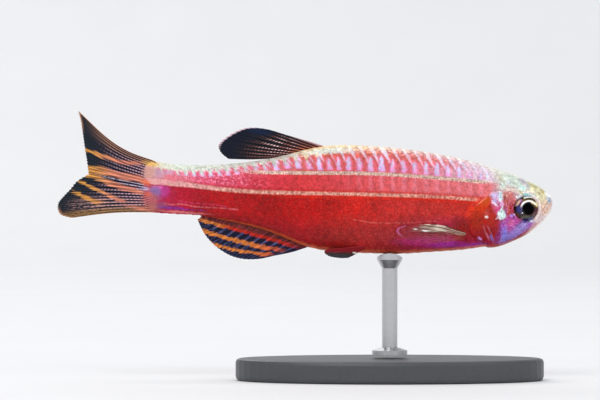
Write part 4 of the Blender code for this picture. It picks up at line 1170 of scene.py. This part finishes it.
# %% Eye paint
PUPIL, PUPIL_RADIUS = (0.145, -0.03), 0.54
ARC = (0.208, -0.045)
IRIS = (
    # centre, radii, lean in degrees, softness, strength, colour, about the eye's centre
    ((-0.76, 0.0), (0.24, 0.42), 4, 0.5, 0.95, (60, 66, 128)),
    ((-0.62, 0.52), (0.24, 0.26), 30, 0.5, 0.9, (104, 44, 96)),
    ((-0.52, 0.3), (0.07, 0.36), 0, 0.5, 0.85, (104, 30, 62)),
    ((-0.54, 0.74), (0.15, 0.1), 0, 0.5, 0.85, (196, 140, 200)),
    ((-0.46, -0.12), (0.08, 0.42), -6, 0.5, 0.85, (78, 78, 118)),
    ((0.84, -0.4), (0.22, 0.55), -29, 0.5, 0.95, (92, 42, 58)),
    ((0.62, -0.62), (0.08, 0.34), -34, 0.5, 0.8, (104, 98, 96)),
    ((-0.1, -0.76), (0.46, 0.13), 0, 0.5, 0.9, (92, 94, 78)),
    ((0.05, -1.02), (0.52, 0.12), 3, 0.5, 0.95, (38, 36, 104)),
    ((-0.86, -0.58), (0.12, 0.44), 27, 0.5, 0.9, (128, 96, 64)),
    ((0.74, 0.46), (0.4, 0.22), -40, 0.4, 1.0, (240, 222, 150)),
    ((0.74, 0.22), (0.34, 0.08), -40, 0.5, 0.95, (92, 58, 18)),
    ((-1.0, 0.12), (0.1, 0.2), 0, 0.5, 0.9, (96, 22, 12)),
    ((-0.62, 0.66), (0.1, 0.1), 0, 0.5, 0.9, (196, 110, 200)),
    ((-0.8, -0.72), (0.1, 0.07), 0, 0.5, 0.8, (140, 120, 92)),
    ((-0.46, -0.92), (0.12, 0.08), 0, 0.5, 0.8, (170, 150, 172)),
    ((0.38, -0.92), (0.22, 0.14), 20, 0.5, 0.8, (84, 92, 130)),
    ((-0.86, 0.5), (0.36, 0.18), 50, 0.35, 1.0, (255, 222, 192)),
)
eye_paint = Paint("eye", Coat_Roughness=0.02, Coat_IOR=1.33, Roughness=0.25, Specular_IOR_Level=0.02)
e = eye_paint
ex, ez = e.x - EYE_CENTRE[0], e.z - EYE_CENTRE[1]
haze = e.noise(6.0, 2.0) - 0.5
spot = e.side(ex + haze * 0.12, ez + haze * 0.12)
iris_tint = e.mix((52, 36, 44), (70, 52, 50), e.noise(7.0))
iris_tint = e.patches(iris_tint, spot, IRIS)
ax, az = ex - ARC[0], ez - ARC[1]
from_arc = e.distance(ax, az)
bearing = e.maths("ARCTAN2", az, ax)
ring = e.fall(abs(from_arc - 0.735), 0.05, 0.11) * e.rise(bearing, 0.45, 0.7)
iris_tint = e.mix(iris_tint, (252, 248, 242), ring * e.fall(bearing, 2.5, 3.1))
bronze = e.fall(abs(from_arc - 0.92), 0.09, 0.14) * e.rise(bearing, 0.70, 0.85) * e.fall(bearing, 2.15, 2.35)
iris_tint = e.mix(iris_tint, (112, 82, 22), bronze)
arc = e.fall(abs(from_arc - 0.956), 0.045, 0.085) * e.rise(bearing, 0.80, 0.95) * e.fall(bearing, 1.75, 2.0)
iris_tint = e.mix(iris_tint, (6, 6, 2), arc)
# a painted highlight along the top of the eye's rim
rim_highlight = e.fall(abs(from_arc - 1.09), 0.05, 0.09) * e.rise(bearing, 0.35, 0.55) * e.fall(bearing, 1.9, 2.1)
iris_tint = e.mix(iris_tint, (238, 244, 238), rim_highlight)
from_pupil = e.distance(ex - PUPIL[0], ez - PUPIL[1])
pupil = e.fall(from_pupil, PUPIL_RADIUS - 0.03, PUPIL_RADIUS + 0.03)
pupil = e.maths("MAXIMUM", pupil, e.patch(e.side(ex, ez), (-0.20, -0.24), (0.27, 0.19), 42, 0.15))
iris_tint = e.mix(iris_tint, (1, 1, 2), pupil)
dark_rim = e.rise(e.distance(ex, ez), 1.055, 1.085) * (1 - rim_highlight)
dark_rim = dark_rim * (1 - e.rise(ex * -0.7 + ez * 0.7, 0.60, 0.75, 0.9))
iris_tint = e.mix(iris_tint, (104, 78, 70), dark_rim * e.fall(ex, 0.4, 0.9))
iris_tint = e.mix(iris_tint, (214, 194, 182), dark_rim * e.rise(ex, 0.4, 0.9))
e.feed(Base_Color=iris_tint, Coat_Weight=0.5 - pupil * 0.44)
print("eye paint has", len(e.tree.nodes), "nodes")

# %% Eyeballs
EYE_HALF_DEPTH = 0.70
EYE_STAND_OUT = 0.26
EYE_ROWS, EYE_COLUMNS = 60, 96


def eyeball(side):
    """An oblate ball on the y axis: radius times sin(polar), half depth times cos(polar), a flatter rim."""
    polar = np.linspace(0, math.pi, EYE_ROWS + 2)[1:-1]
    polar, turn = np.meshgrid(polar, np.linspace(0, 2 * math.pi, EYE_COLUMNS, endpoint=False), indexing="ij")
    radius = (EYE_RADIUS - 0.01) * np.sin(polar)
    middle = float(flank(*EYE_CENTRE)) + EYE_STAND_OUT - EYE_HALF_DEPTH
    depth = EYE_HALF_DEPTH * np.cos(polar)
    cornea = 0.05 * bell(np.hypot(radius * np.cos(turn) - PUPIL[0], radius * np.sin(turn) - PUPIL[1]), 0.62)
    ball = np.stack([
        EYE_CENTRE[0] + radius * np.cos(turn),
        side * (middle + depth + np.where(depth > 0, cornea, 0)),
        EYE_CENTRE[1] + radius * np.sin(turn),
    ], axis=-1).reshape(-1, 3)
    front = [EYE_CENTRE[0], side * (middle + EYE_HALF_DEPTH + 0.05), EYE_CENTRE[1]]
    rear = [EYE_CENTRE[0], side * (middle - EYE_HALF_DEPTH), EYE_CENTRE[1]]
    return place(np.vstack([front, ball, rear])), wrapped_faces(EYE_ROWS, EYE_COLUMNS)


eyes = {name: piece("eyeball_" + name, *eyeball(side), eye_paint) for name, side in SIDES}
lit_eyes = bpy.data.collections.new("eyes under the catch light")
for eye in eyes.values():
    lit_eyes.objects.link(eye)
catch_light.light_linking.receiver_collection = lit_eyes

# %% [markdown]
# ## Fins
# A fin is a fan: its rays spring from a short root line and spread to a long edge, and a membrane a tenth of
# a millimetre thick joins them. Each ray forks once on its way out. The fan is one function of u, across the
# rays, and v, from root to edge, and a second function gives the ray's ridge, raised on both faces.


# %% Fan and rays
RAY_WIDTH, FORK_SPREAD = 0.13, 0.24
RAY_COLUMNS = 12
JOINTS = 150
EDGE_NOTCH = 0.015


def fan(root, edge, sag):
    """A sheet whose rays run straight from a root line to an edge line, bowed by sag(u) at mid length."""

    def sheet(u, v):
        start, end = through(root, u), through(edge, u)
        points = start + (end - start) * v[..., None]
        if points.shape[-1] == 2:
            points = np.stack([points[..., 0], 0 * u, points[..., 1]], axis=-1)
        points[..., 2] += sag(u) * (4 * v * (1 - v)) ** 1.5
        return points

    return sheet


def ray_ridge(u, v, rays, fork_at):
    """Height of the rays from 0 to 1: a bell across each ray, parting in two beyond the fork."""
    phase = u * (rays - 1)
    offset = phase - np.round(phase)
    spread = FORK_SPREAD * rise(v, fork_at, 0.95)
    narrow = RAY_WIDTH * (1 - 0.30 * v)
    return np.clip(bell(offset - spread, narrow) + bell(offset + spread, narrow), 0, 1)


def fin_piece(name, sheet, rays, rows, paint, thickness=(0.16, 0.05), ridge=0.045, fork_at=0.45):
    """A fin as two sheets, half the thickness and the ray's height to each side of the middle surface."""
    u, v = np.meshgrid(np.linspace(0, 1, rays * RAY_COLUMNS + 1), np.linspace(0, 1, rows), indexing="ij")
    ray = ray_ridge(u, v, rays, fork_at)
    reach = 1 - EDGE_NOTCH * rise(v, 0.6, 1.0) * (1 - ray)
    middle = sheet(u, v * reach)
    across = np.gradient(middle, axis=0)
    along = np.gradient(middle, axis=1)
    normal = np.cross(across, along)
    normal /= np.maximum(np.linalg.norm(normal, axis=-1, keepdims=True), 1e-9)
    joints = 0.85 + 0.15 * np.sin(v * JOINTS)
    half = (thickness[0] * (1 - v) ** 1.5 + thickness[1]) / 2 + ridge * ray * joints * (1 - 0.6 * v)
    points = np.concatenate([(middle + normal * half[..., None]).reshape(-1, 3),
                             (middle - normal * half[..., None]).reshape(-1, 3)])
    maps = {"FinMap": np.concatenate([np.stack([u, v], axis=-1).reshape(-1, 2)] * 2)}
    held = {"ray": np.concatenate([ray.ravel()] * 2)}
    return piece(name, place(points), plate_faces(*u.shape), paint, maps, held)


print("a fin of nine rays has", 9 * RAY_COLUMNS + 1, "columns")

# %% [markdown]
# ### Tail fin
# The tail fin is forked. Its orange bands cross from the root towards the edge, between dark blue membrane,
# and near the root every ray shows as a pale beaded line. The flesh's colours run out over the root, so the
# skin's root patches are laid again here, stronger on the rays. A band's middle is a curve of the side view,
# and streaks along the rays fray its sides and ends.

# %% Tail fin paint
TAIL_RAYS = 23
TAIL_BANDS = (
    # line of the side view, half width, (start, full, fade, end) along -x
    (((0.2, 3.80), (-1.0, 3.62), (-2.36, 3.76), (-3.26, 4.04), (-4.17, 4.32), (-5.0, 4.66), (-6.2, 4.95)),
     0.19, (-0.2, 1.2, 5.4, 5.9)),
    (((0.0, 2.06), (-0.5, 2.16), (-1.93, 2.42), (-3.02, 2.70), (-4.10, 2.96), (-4.82, 3.08), (-6.2, 3.25)),
     0.34, (-0.3, 0.6, 5.3, 5.8)),
    (((0.1, 0.78), (-1.2, 1.16), (-2.3, 1.42), (-3.38, 1.84), (-4.46, 2.26), (-5.4, 2.54), (-6.4, 2.80)),
     0.26, (-0.3, 0.8, 5.6, 6.2)),
    (((0.0, -0.1), (-2.29, 0.24), (-3.02, 0.52), (-3.95, 0.96), (-4.82, 1.32), (-5.54, 1.68), (-6.6, 2.15)),
     0.17, (1.6, 2.4, 6.0, 6.5)),
    (((-2.6, -0.05), (-3.8, 0.0), (-4.60, 0.10), (-5.60, 0.52), (-6.40, 0.86), (-7.4, 1.2)),
     0.22, (3.4, 4.9, 6.3, 6.9)),
    (((0.5, -0.75), (-0.4, -0.50), (-1.5, -0.30), (-2.6, -0.22), (-3.4, -0.2)), 0.13, (-0.4, 0.2, 1.4, 2.4)),
)


def fin_paint(name, rays, membrane, ray_root, ray_edge, membrane_root):
    """A fin's ground: a dark membrane with paler rays, both changing from root to edge."""
    paint = Paint(name, Roughness=0.46, Coat_Roughness=0.3, Coat_Weight=0.03, Specular_IOR_Level=0.12)
    u, v = paint.map_of("FinMap")
    ray = paint.held("ray")
    mottle = paint.noise(3.0, 3.0)
    ground = paint.mix(membrane_root, membrane, paint.rise(v, 0.05, 0.5))
    ground = paint.scaled(ground, 0.7 + mottle * 0.6)
    beads = 0.60 + paint.maths("SINE", v * JOINTS + mottle * 4 + paint.luck(u * (rays - 1)) * 6.0) * 0.40
    ray_tint = paint.mix(ray_root, ray_edge, paint.rise(v + mottle * 0.4, 0.30, 1.05))
    return paint, u, v, ray, paint.mix(ground, ray_tint, ray * beads), mottle


def banded(paint, tint, shade, bands, streak, along, ragged, share):
    """Lays bands over a fin's colour: 1 near the band's line, between its start and end along the fin."""
    for line, width, (start, full, fade, end) in bands:
        gap = abs(paint.z - paint.curve(paint.x, line) + (streak - 0.5) * ragged)
        reach = (streak - 0.5) * 0.8 + along
        run = paint.rise(reach, start, full) * paint.fall(reach, fade, end)
        tint = paint.mix(tint, shade, paint.fall(gap, width * 0.60, width * 1.25) * run * share)
    return tint


print("fin paint is ready")

# %% Paint the tail fin
tail_paint, u, v, ray, tint, mottle = fin_paint(
    "tail_fin", TAIL_RAYS, (8, 14, 30), (236, 190, 206), (58, 56, 74), (44, 24, 52)
)
t = tail_paint
tint = t.mix(tint, (12, 34, 34), t.rise(v + (mottle - 0.5) * 0.5, 0.62, 0.95, 0.6) * (1 - ray))
# a painted glint: pale silvery streaks along the rays
silver_ray_glint = t.patch(t.side(t.x, t.z), (-1.7, 1.95), (2.2, 0.34), -14, 0.6) * ray
tint = t.mix(tint, (208, 212, 236), silver_ray_glint * t.rise(t.streaks(u, v, 70, 14), 0.2, 0.7, 0.9))
low_rays = t.rise(u, 0.70, 0.78) * t.fall(v + (mottle - 0.5) * 0.3, 0.62, 0.98) * ray
tint = t.mix(tint, (232, 176, 164), low_rays * t.rise(t.streaks(u, v, 50, 22), 0.1, 0.6, 0.75))
lead = t.fall(u + (mottle - 0.5) * 0.06, 0.08, 0.20)
tint = t.mix(tint, t.mix((24, 18, 24), (190, 138, 112), ray), lead * t.fall(v, 0.6, 1.0, 0.85))
tint = t.mix(tint, (206, 150, 124), t.fall(u, 0.006, 0.016, 0.9))
trail = t.rise(u + (mottle - 0.5) * 0.05, 0.87, 0.94)
olive = t.mix((58, 44, 30), (182, 134, 78), ray * 0.5 + t.streaks(u, v, 60, 30) * 0.5)
tint = t.mix(tint, t.mix(olive, (216, 134, 100), t.fall(v, 0.10, 0.40) * ray), trail * 0.85)
streak = t.streaks(u, v, 60, 3)
orange = t.mix((244, 148, 120), (246, 172, 84), t.rise(0 - t.x, 2.5, 5.5))
orange = t.scaled(orange, 0.22 + streak * 0.56 + ray * 0.50)
tint = banded(t, tint, orange, TAIL_BANDS, streak, 0 - t.x, 0.20, 0.96)
near_root = t.side(t.x + (mottle - 0.5) * 0.6, t.z + (mottle - 0.5) * 0.3)
tint = t.patches(tint, near_root, ROOT_PATCHES, 0.35 + ray * 0.60)
tip = t.rise(v, 0.965, 0.99)
tint = t.mix(tint, (170, 116, 84), tip * t.rise(abs(u - 0.5), 0.30, 0.40) * 0.8)
t.feed(Base_Color=tint)
t.bump(t.noise(8.0, 2.0), 0.02, 0.3)
print("tail paint has", len(t.tree.nodes), "nodes")

# %% Tail fin
FORK_ROOT, FORK = (0.30, 1.54), (-5.36, 2.62)
upper_lobe = fan(
    ((0.90, 3.72), (0.50, 3.20), (0.40, 2.40), FORK_ROOT),
    ((-6.34, 8.44), (-6.08, 7.45), (-5.90, 6.25), (-5.72, 5.05), (-5.52, 3.85), FORK),
    sag=lambda u: -0.78 * (1 - u) ** 1.5,
)
lower_lobe = fan(
    (FORK_ROOT, (0.40, 0.80), (0.50, 0.00), (0.90, -0.85)),
    (FORK, (-6.40, 2.00), (-7.08, 1.22), (-7.72, 0.55), (-8.14, 0.00), (-8.18, -0.60), (-7.85, -1.10),
     (-6.95, -1.36)),
    sag=lambda u: 0.05 + 0.15 * u,
)


def tail_sheet(u, v):
    """Both lobes as one sheet: u below one half is the upper lobe, above it the lower."""
    upper = upper_lobe(np.clip(2 * u, 0, 1), v)
    lower = lower_lobe(np.clip(2 * u - 1, 0, 1), v)
    return np.where((u < 0.5)[..., None], upper, lower)


tail_fin = fin_piece("tail_fin", tail_sheet, TAIL_RAYS, 80, tail_paint, ridge=0.04, fork_at=0.22)

# %% [markdown]
# ### Dorsal and anal fins
# Both stand on the midline. The dorsal fin is nearly black with pale beaded rays, folded back, and flashes
# near its front. The anal fin has three orange bands that run along it, parallel to its root, on dark blue
# with a sheen along the rays, and its root is a deep red.

# %% Dorsal fin
DORSAL_RAYS = 11
dorsal_paint, u, v, ray, tint, mottle = fin_paint(
    "dorsal_fin", DORSAL_RAYS, (5, 10, 22), (176, 114, 98), (44, 38, 46), (44, 14, 22)
)
d = dorsal_paint
tint = d.mix(tint, (14, 22, 40), d.rise(v + (mottle - 0.5) * 0.4, 0.55, 0.85, 0.7))
tint = d.mix(tint, (16, 30, 58), d.patch(d.side(d.x, d.z), (10.3, 6.5), (1.1, 0.3), -8, 0.5, 0.9))
edge = d.rise(v, 0.966, 0.985) * d.rise(u, 0.16, 0.30) * d.fall(u, 0.62, 0.80)
tint = d.mix(tint, (214, 184, 194), edge * 0.9)
lead = d.fall(u, 0.045, 0.095) * d.fall(v + (mottle - 0.5) * 0.2, 0.55, 0.85)
tint = d.mix(tint, (206, 164, 168), lead * (0.5 + mottle * 0.6))
beads = d.fall(d.maths("PINGPONG", v * 24 + d.luck(u * (DORSAL_RAYS - 1)) * 3.0, 0.5), 0.16, 0.32)
glitter = d.patch(d.side(d.x, d.z), (12.0, 5.1), (1.5, 0.75), 14, 0.6) * d.rise(ray, 0.55, 0.85) * beads
tint = d.mix(tint, (255, 222, 224), glitter * d.rise(d.streaks(u, v, 24, 9), 0.15, 0.65, 0.95))
ember = d.fall(v + (mottle - 0.5) * 0.2, 0.02, 0.20) * ray * d.fall(u, 0.55, 0.80)
tint = d.mix(tint, (240, 128, 72), ember * 0.8)
d.feed(Base_Color=tint)
d.bump(d.noise(8.0, 2.0), 0.02, 0.3)


def along_outline(low, high, count, row, lift):
    """Points of the back (row 1) or belly (row 2) between two stations, lifted off it."""
    x = np.linspace(low, high, count)
    return np.stack([x, np.interp(x, DENSE[:, 0], DENSE[:, row]) + lift], axis=1)


DORSAL_EDGE = ((12.60, 6.22), (10.90, 6.72), (9.25, 6.86), (8.05, 6.50), (6.88, 5.76), (6.50, 5.20),
               (6.74, 4.55), (7.40, 4.00))
dorsal_sheet = fan(along_outline(16.55, 12.10, 6, 1, -0.18), DORSAL_EDGE, sag=lambda u: 0.02 - 0.10 * u)
dorsal_fin = fin_piece(
    "dorsal_fin_web", dorsal_sheet, DORSAL_RAYS, 70, dorsal_paint, thickness=(0.30, 0.05), fork_at=0.15
)

# %% Anal fin
ANAL_RAYS = 14
ANAL_BANDS = (
    # line of the side view, half width, (start, full, fade, end) along x
    (((3.5, -0.9), (5.0, -1.55), (6.3, -1.92), (8.5, -2.50), (10.5, -3.08), (12.6, -3.68), (14.4, -4.3)),
     0.17, (4.6, 5.0, 12.5, 14.5)),
    (((4.0, -2.0), (5.3, -2.60), (7.2, -3.15), (9.5, -3.75), (12.5, -4.35), (14.0, -4.7)),
     0.20, (4.4, 5.0, 11.6, 12.8)),
    (((5.0, -3.1), (6.3, -3.80), (8.0, -4.25), (10.0, -4.58), (11.6, -4.68), (13.0, -4.8)),
     0.16, (5.4, 6.0, 11.0, 11.8)),
)
anal_paint, u, v, ray, tint, mottle = fin_paint(
    "anal_fin", ANAL_RAYS, (10, 14, 40), (84, 76, 122), (64, 68, 108), (22, 14, 40)
)
a = anal_paint
streak = a.streaks(u, v, 40, 3)
above_band = a.z - a.curve(a.x, ANAL_BANDS[0][0])
root_red = a.rise(above_band + (streak - 0.5) * 0.2, 0.05, 0.22)
root_tint = a.mix((56, 14, 20), (140, 52, 46), a.streaks(u, v, 60, 2))
tint = a.mix(tint, root_tint, root_red * 0.92)
sheen = a.streaks(u, v, 46, 6) * a.rise(ray, 0.3, 0.9)
tint = a.mix(tint, (136, 140, 200), a.rise(sheen, 0.50, 1.0, 0.28) * (1 - root_red))
orange = a.mix((240, 138, 60), (226, 92, 60), a.rise(a.x, 8.5, 12.5))
crimson = a.rise(a.x, 6.0, 8.0) * a.rise(above_band, -0.45, -0.30)
orange = a.mix(orange, (212, 44, 22), crimson)
orange = a.scaled(orange, 0.42 + streak * 0.36 + ray * 0.34)
tint = banded(a, tint, orange, ANAL_BANDS, streak, a.x, 0.18, 0.95)
a.feed(Base_Color=tint)
a.bump(a.noise(8.0, 2.0), 0.02, 0.3)
ANAL_EDGE = ((11.60, -4.80), (10.20, -5.10), (8.86, -5.12), (7.80, -4.88), (6.90, -4.42), (6.00, -3.72),
             (5.30, -2.90), (4.90, -2.15), (4.62, -1.50))
anal_sheet = fan(along_outline(14.95, 5.10, 9, 2, 0.18), ANAL_EDGE, sag=lambda u: -0.10)
anal_fin = fin_piece(
    "anal_fin_web", anal_sheet, ANAL_RAYS, 56, anal_paint, thickness=(0.24, 0.05), fork_at=0.25
)

# %% [markdown]
# ### Paired fins
# The breast fins lie back along the flank and are nearly clear, with whitish streaks, two glints and a pink
# tip. The belly fins are small dark leaves under the body, red at the root. The right and left ones differ
# only in the sign of y.

# %% Paint of the breast and belly fins
PECTORAL_RAYS, PELVIC_RAYS = 11, 7
pectoral_paint, u, v, ray, tint, mottle = fin_paint(
    "pectoral_fin", PECTORAL_RAYS, (150, 70, 60), (206, 160, 120), (190, 110, 120), (176, 84, 46)
)
c = pectoral_paint
streak = c.streaks(u, v, 15, 2)
shine = c.fall(u + (streak - 0.5) * 0.3, 0.34, 0.60) * c.fall(v + (mottle - 0.5) * 0.3, 0.55, 0.85)
tint = c.mix(tint, (110, 56, 40), shine * 0.8)
tint = c.mix(tint, (246, 232, 212), shine * c.rise(streak, 0.44, 0.58))
near = c.side(c.x + (mottle - 0.5) * 0.4, c.z)
glint = c.patch(near, (25.25, -2.50), (0.30, 0.09), -8, 0.5)
glint = glint + c.patch(near, (24.35, -2.36), (0.24, 0.06), -6, 0.5)
tint = c.mix(tint, (255, 255, 252), glint)
tip = c.rise(v, 0.955, 0.98) * c.fall(u, 0.45, 0.75)
tint = c.mix(tint, (226, 120, 180), tip)
veil = 0.06 + shine * (0.30 + c.rise(streak, 0.44, 0.58, 0.34)) + tip * 0.34 + glint * 0.4
lines = ray * (0.34 - c.rise(v, 0.45, 0.95) * 0.30) * (0.5 + streak * 0.6)
c.feed(Base_Color=tint, Alpha=(veil + lines) * c.rise(v, 0.0, 0.06))
pelvic_paint, u, v, ray, tint, mottle = fin_paint(
    "pelvic_fin", PELVIC_RAYS, (44, 40, 44), (150, 84, 76), (110, 104, 108), (140, 24, 30)
)
w = pelvic_paint
tint = w.mix(tint, (150, 22, 34), w.rise(w.z + (mottle - 0.5) * 0.3, -4.62, -4.32, 0.9))
glint = w.fall(abs(w.z + 4.50 + (w.x - 18.8) * 0.16), 0.03, 0.10) * w.fall(abs(w.x - 18.9), 0.10, 0.25)
tint = w.mix(tint, (250, 246, 240), glint)
w.feed(Base_Color=tint)
print("paired fins have", len(c.tree.nodes), "and", len(w.tree.nodes), "nodes of paint")

# %% Breast and belly fins
paired = {}
for side_name, side in SIDES:
    root_x, root_z = np.linspace(29.10, 28.80, 4), np.linspace(-2.66, -3.22, 4)
    edge_x = np.array((23.30, 22.70, 22.60, 23.00, 23.90, 25.20))
    edge_z = np.array((-2.05, -2.28, -2.62, -3.02, -3.42, -3.75))
    root = np.stack([root_x, side * (flank(root_x, root_z) - 0.10), root_z], axis=1)
    edge_y = flank(edge_x, edge_z) + np.linspace(1.00, 0.55, 6)
    edge = np.stack([edge_x, side * edge_y, edge_z], axis=1)
    sheet = fan(root, edge, sag=lambda u: 0.38 * (1 - u))
    paired["pectoral_fin_" + side_name] = fin_piece(
        "pectoral_web_" + side_name, sheet, PECTORAL_RAYS, 50, pectoral_paint, (0.16, 0.04), ridge=0.03
    )
    root_x = np.linspace(19.90, 19.30, 3)
    root_y = np.linspace(1.25, 0.55, 3)
    root_z = underside(root_x, root_y) + 0.12
    edge_x = np.array((16.45, 16.15, 16.60, 17.50, 18.30))
    edge_y = np.array((1.70, 1.55, 1.25, 0.92, 0.66))
    edge_z = np.array((-4.15, -4.48, -4.82, -4.98, -4.98))
    root = np.stack([root_x, side * root_y, root_z], axis=1)
    edge = np.stack([edge_x, side * edge_y, edge_z], axis=1)
    sheet = fan(root, edge, sag=lambda u: -0.05)
    paired["pelvic_fin_" + side_name] = fin_piece(
        "pelvic_web_" + side_name, sheet, PELVIC_RAYS, 36, pelvic_paint, (0.14, 0.04), ridge=0.03
    )

# %% [markdown]
# ## Barbels
# A danio has fine feelers at its mouth. The longer pair grows behind the mouth's corners and lies back along
# the jaw. Each is a tapered tube: a circle carried along a smooth line.

# %% Barbels
BARBEL_LINE = ((35.66, -1.62), (34.90, -2.38), (33.95, -2.96), (32.98, -3.38), (32.05, -3.68))
BARBEL_RADIUS = 0.075
barbel_paint = Paint("barbel", Roughness=0.4, Coat_Weight=0.3)
b = barbel_paint
rust = b.mix((178, 80, 48), (128, 50, 32), b.noise(5.0, 2.0))
b.feed(Base_Color=b.mix(rust, (226, 190, 180), b.rise(b.x, 33.9, 34.9, 0.85)))


def tapered_tube(line, radius, rows=40, columns=12):
    """A circle carried along a line: side and up vectors span each ring, and it shrinks towards the tip."""
    share = np.linspace(0, 1, rows)
    middle = through(line, share)
    ahead = np.gradient(middle, axis=0)
    ahead /= np.linalg.norm(ahead, axis=1, keepdims=True)
    side = np.cross(ahead, [0, 0, 1.0])
    side /= np.linalg.norm(side, axis=1, keepdims=True)
    up = np.cross(side, ahead)
    turn = np.linspace(0, 2 * math.pi, columns, endpoint=False)
    size = radius * (1 - 0.75 * share) * np.sqrt(np.clip(1 - share**8, 0.02, 1))
    rings = middle[:, None] + size[:, None, None] * (
        np.cos(turn)[None, :, None] * side[:, None] + np.sin(turn)[None, :, None] * up[:, None]
    )
    points = np.vstack([middle[0], rings.reshape(-1, 3), middle[-1] + ahead[-1] * radius * 0.1])
    return points, wrapped_faces(rows, columns)


barbels = {}
way = np.linspace(0, 1, 24)
x, z = through(BARBEL_LINE, way).T
stand_off = np.interp(way, (0, 0.12, 1), (-0.05, 0.07, 0.20))
for side_name, side in SIDES:
    points, faces = tapered_tube(np.stack([x, side * (flank(x, z) + stand_off), z], axis=1), BARBEL_RADIUS)
    barbels[side_name] = piece("barbel_soft_" + side_name, place(points), faces, barbel_paint)

# %% [markdown]
# ## Stand and floor
# The stand keeps its solids and only takes a finish: a satin base with a fine tooth, and a rod of brushed
# steel whose streaks run round it. The floor is a flat disc that turns up all round into a wall, as a
# studio's paper sweep does, so that hardly a horizon shows from any side.

# %% Stand
base_paint = Paint("stand_base", Coat_Weight=0.15, Coat_Roughness=0.3)
s = base_paint
tooth = s.noise(3.0, 4.0)
s.feed(Base_Color=s.mix((58, 60, 64), (70, 72, 76), tooth), Roughness=0.44 + tooth * 0.12)
s.bump(s.noise(14.0, 3.0), 0.03, 0.4)
rod_paint = Paint("stand_rod", Metallic=1.0)
r = rod_paint
stretched = r.node("ShaderNodeMapping", sockets={"Vector": r.where, "Scale": (1.0, 1.0, 30.0)})
streak = r.noise(1.2, 3.0, where=stretched)
r.feed(Base_Color=r.mix((176, 176, 178), (206, 206, 208), streak), Roughness=0.24 + streak * 0.16)
for node, paint in (("stand_base", base_paint), ("stand_rod", rod_paint)):
    mesh = frame["nodes"][node].data
    mesh.materials.clear()
    mesh.materials.append(paint.material)
print("stand is finished")

# %% Floor
FLAT, ROUND, TOP = 470.0, 170.0, 210.0
FLOOR_COLUMNS = 96
floor_paint = Paint("floor", Roughness=0.75)
f = floor_paint
f.feed(Base_Color=f.mix((226, 226, 226), (230, 230, 230), f.noise(0.05, 2.0)))
bend = np.linspace(0, math.pi / 2, 16)
radius = np.concatenate([[60.0, 160.0, 300.0], FLAT + ROUND * np.sin(bend), [FLAT + ROUND]])
height = np.concatenate([[0.0, 0.0, 0.0], ROUND * (1 - np.cos(bend)), [TOP]])
turns = np.linspace(0, 2 * math.pi, FLOOR_COLUMNS, endpoint=False)
radius, height = radius[:, None], height[:, None] + 0 * turns
bowl = np.stack([radius * np.cos(turns), radius * np.sin(turns), height], axis=-1)
index = 1 + np.arange(height.size).reshape(height.shape)
after = np.roll(index, -1, axis=1)
quads = np.stack([index[:-1], index[1:], after[1:], after[:-1]], axis=-1).reshape(-1, 4)
middle = np.stack([0 * index[0], index[0], after[0]], axis=-1)
bowl = np.vstack([[0, 0, 0], bowl.reshape(-1, 3)]) * MM
floor = piece("floor", bowl, [quads, middle], floor_paint, closed=False)
floor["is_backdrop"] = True

# %% [markdown]
# ## The pieces on the body
# Each piece rides on the one body, and the solids that it stands for are hidden.

# %% What each piece stands for
FLESH = ("head", "lower_jaw", "gill_cover_right", "gill_cover_left", "trunk", "tail_stalk")
stands_for = [
    (skin, "flesh", FLESH),
    (scales[0], "flesh", ()),
    (scales[1], "flesh", ()),
    (eyes["right"], "eye", ("eye_right",)),
    (eyes["left"], "eye", ("eye_left",)),
    (tail_fin, "fin", ("tail_fin_upper", "tail_fin_lower")),
    (dorsal_fin, "fin", ("dorsal_fin",)),
    (anal_fin, "fin", ("anal_fin",)),
    (barbels["right"], "barbel", ("barbel_right",)),
    (barbels["left"], "barbel", ("barbel_left",)),
]
stands_for += [(made, "pale_fin", (node,)) for node, made in paired.items()]
for made, slot, nodes in stands_for:
    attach(made, "root")
    if nodes:
        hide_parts(*nodes)
print(len(stands_for), "pieces ride on the one body")

# %% Sizes and finish
bpy.context.view_layer.update()
dressed_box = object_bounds()
plain = {
    "cad": [[float(value) for value in corner] for corner in solid_box],
    "visual": [[float(value) for value in corner] for corner in dressed_box],
}
print(plain)
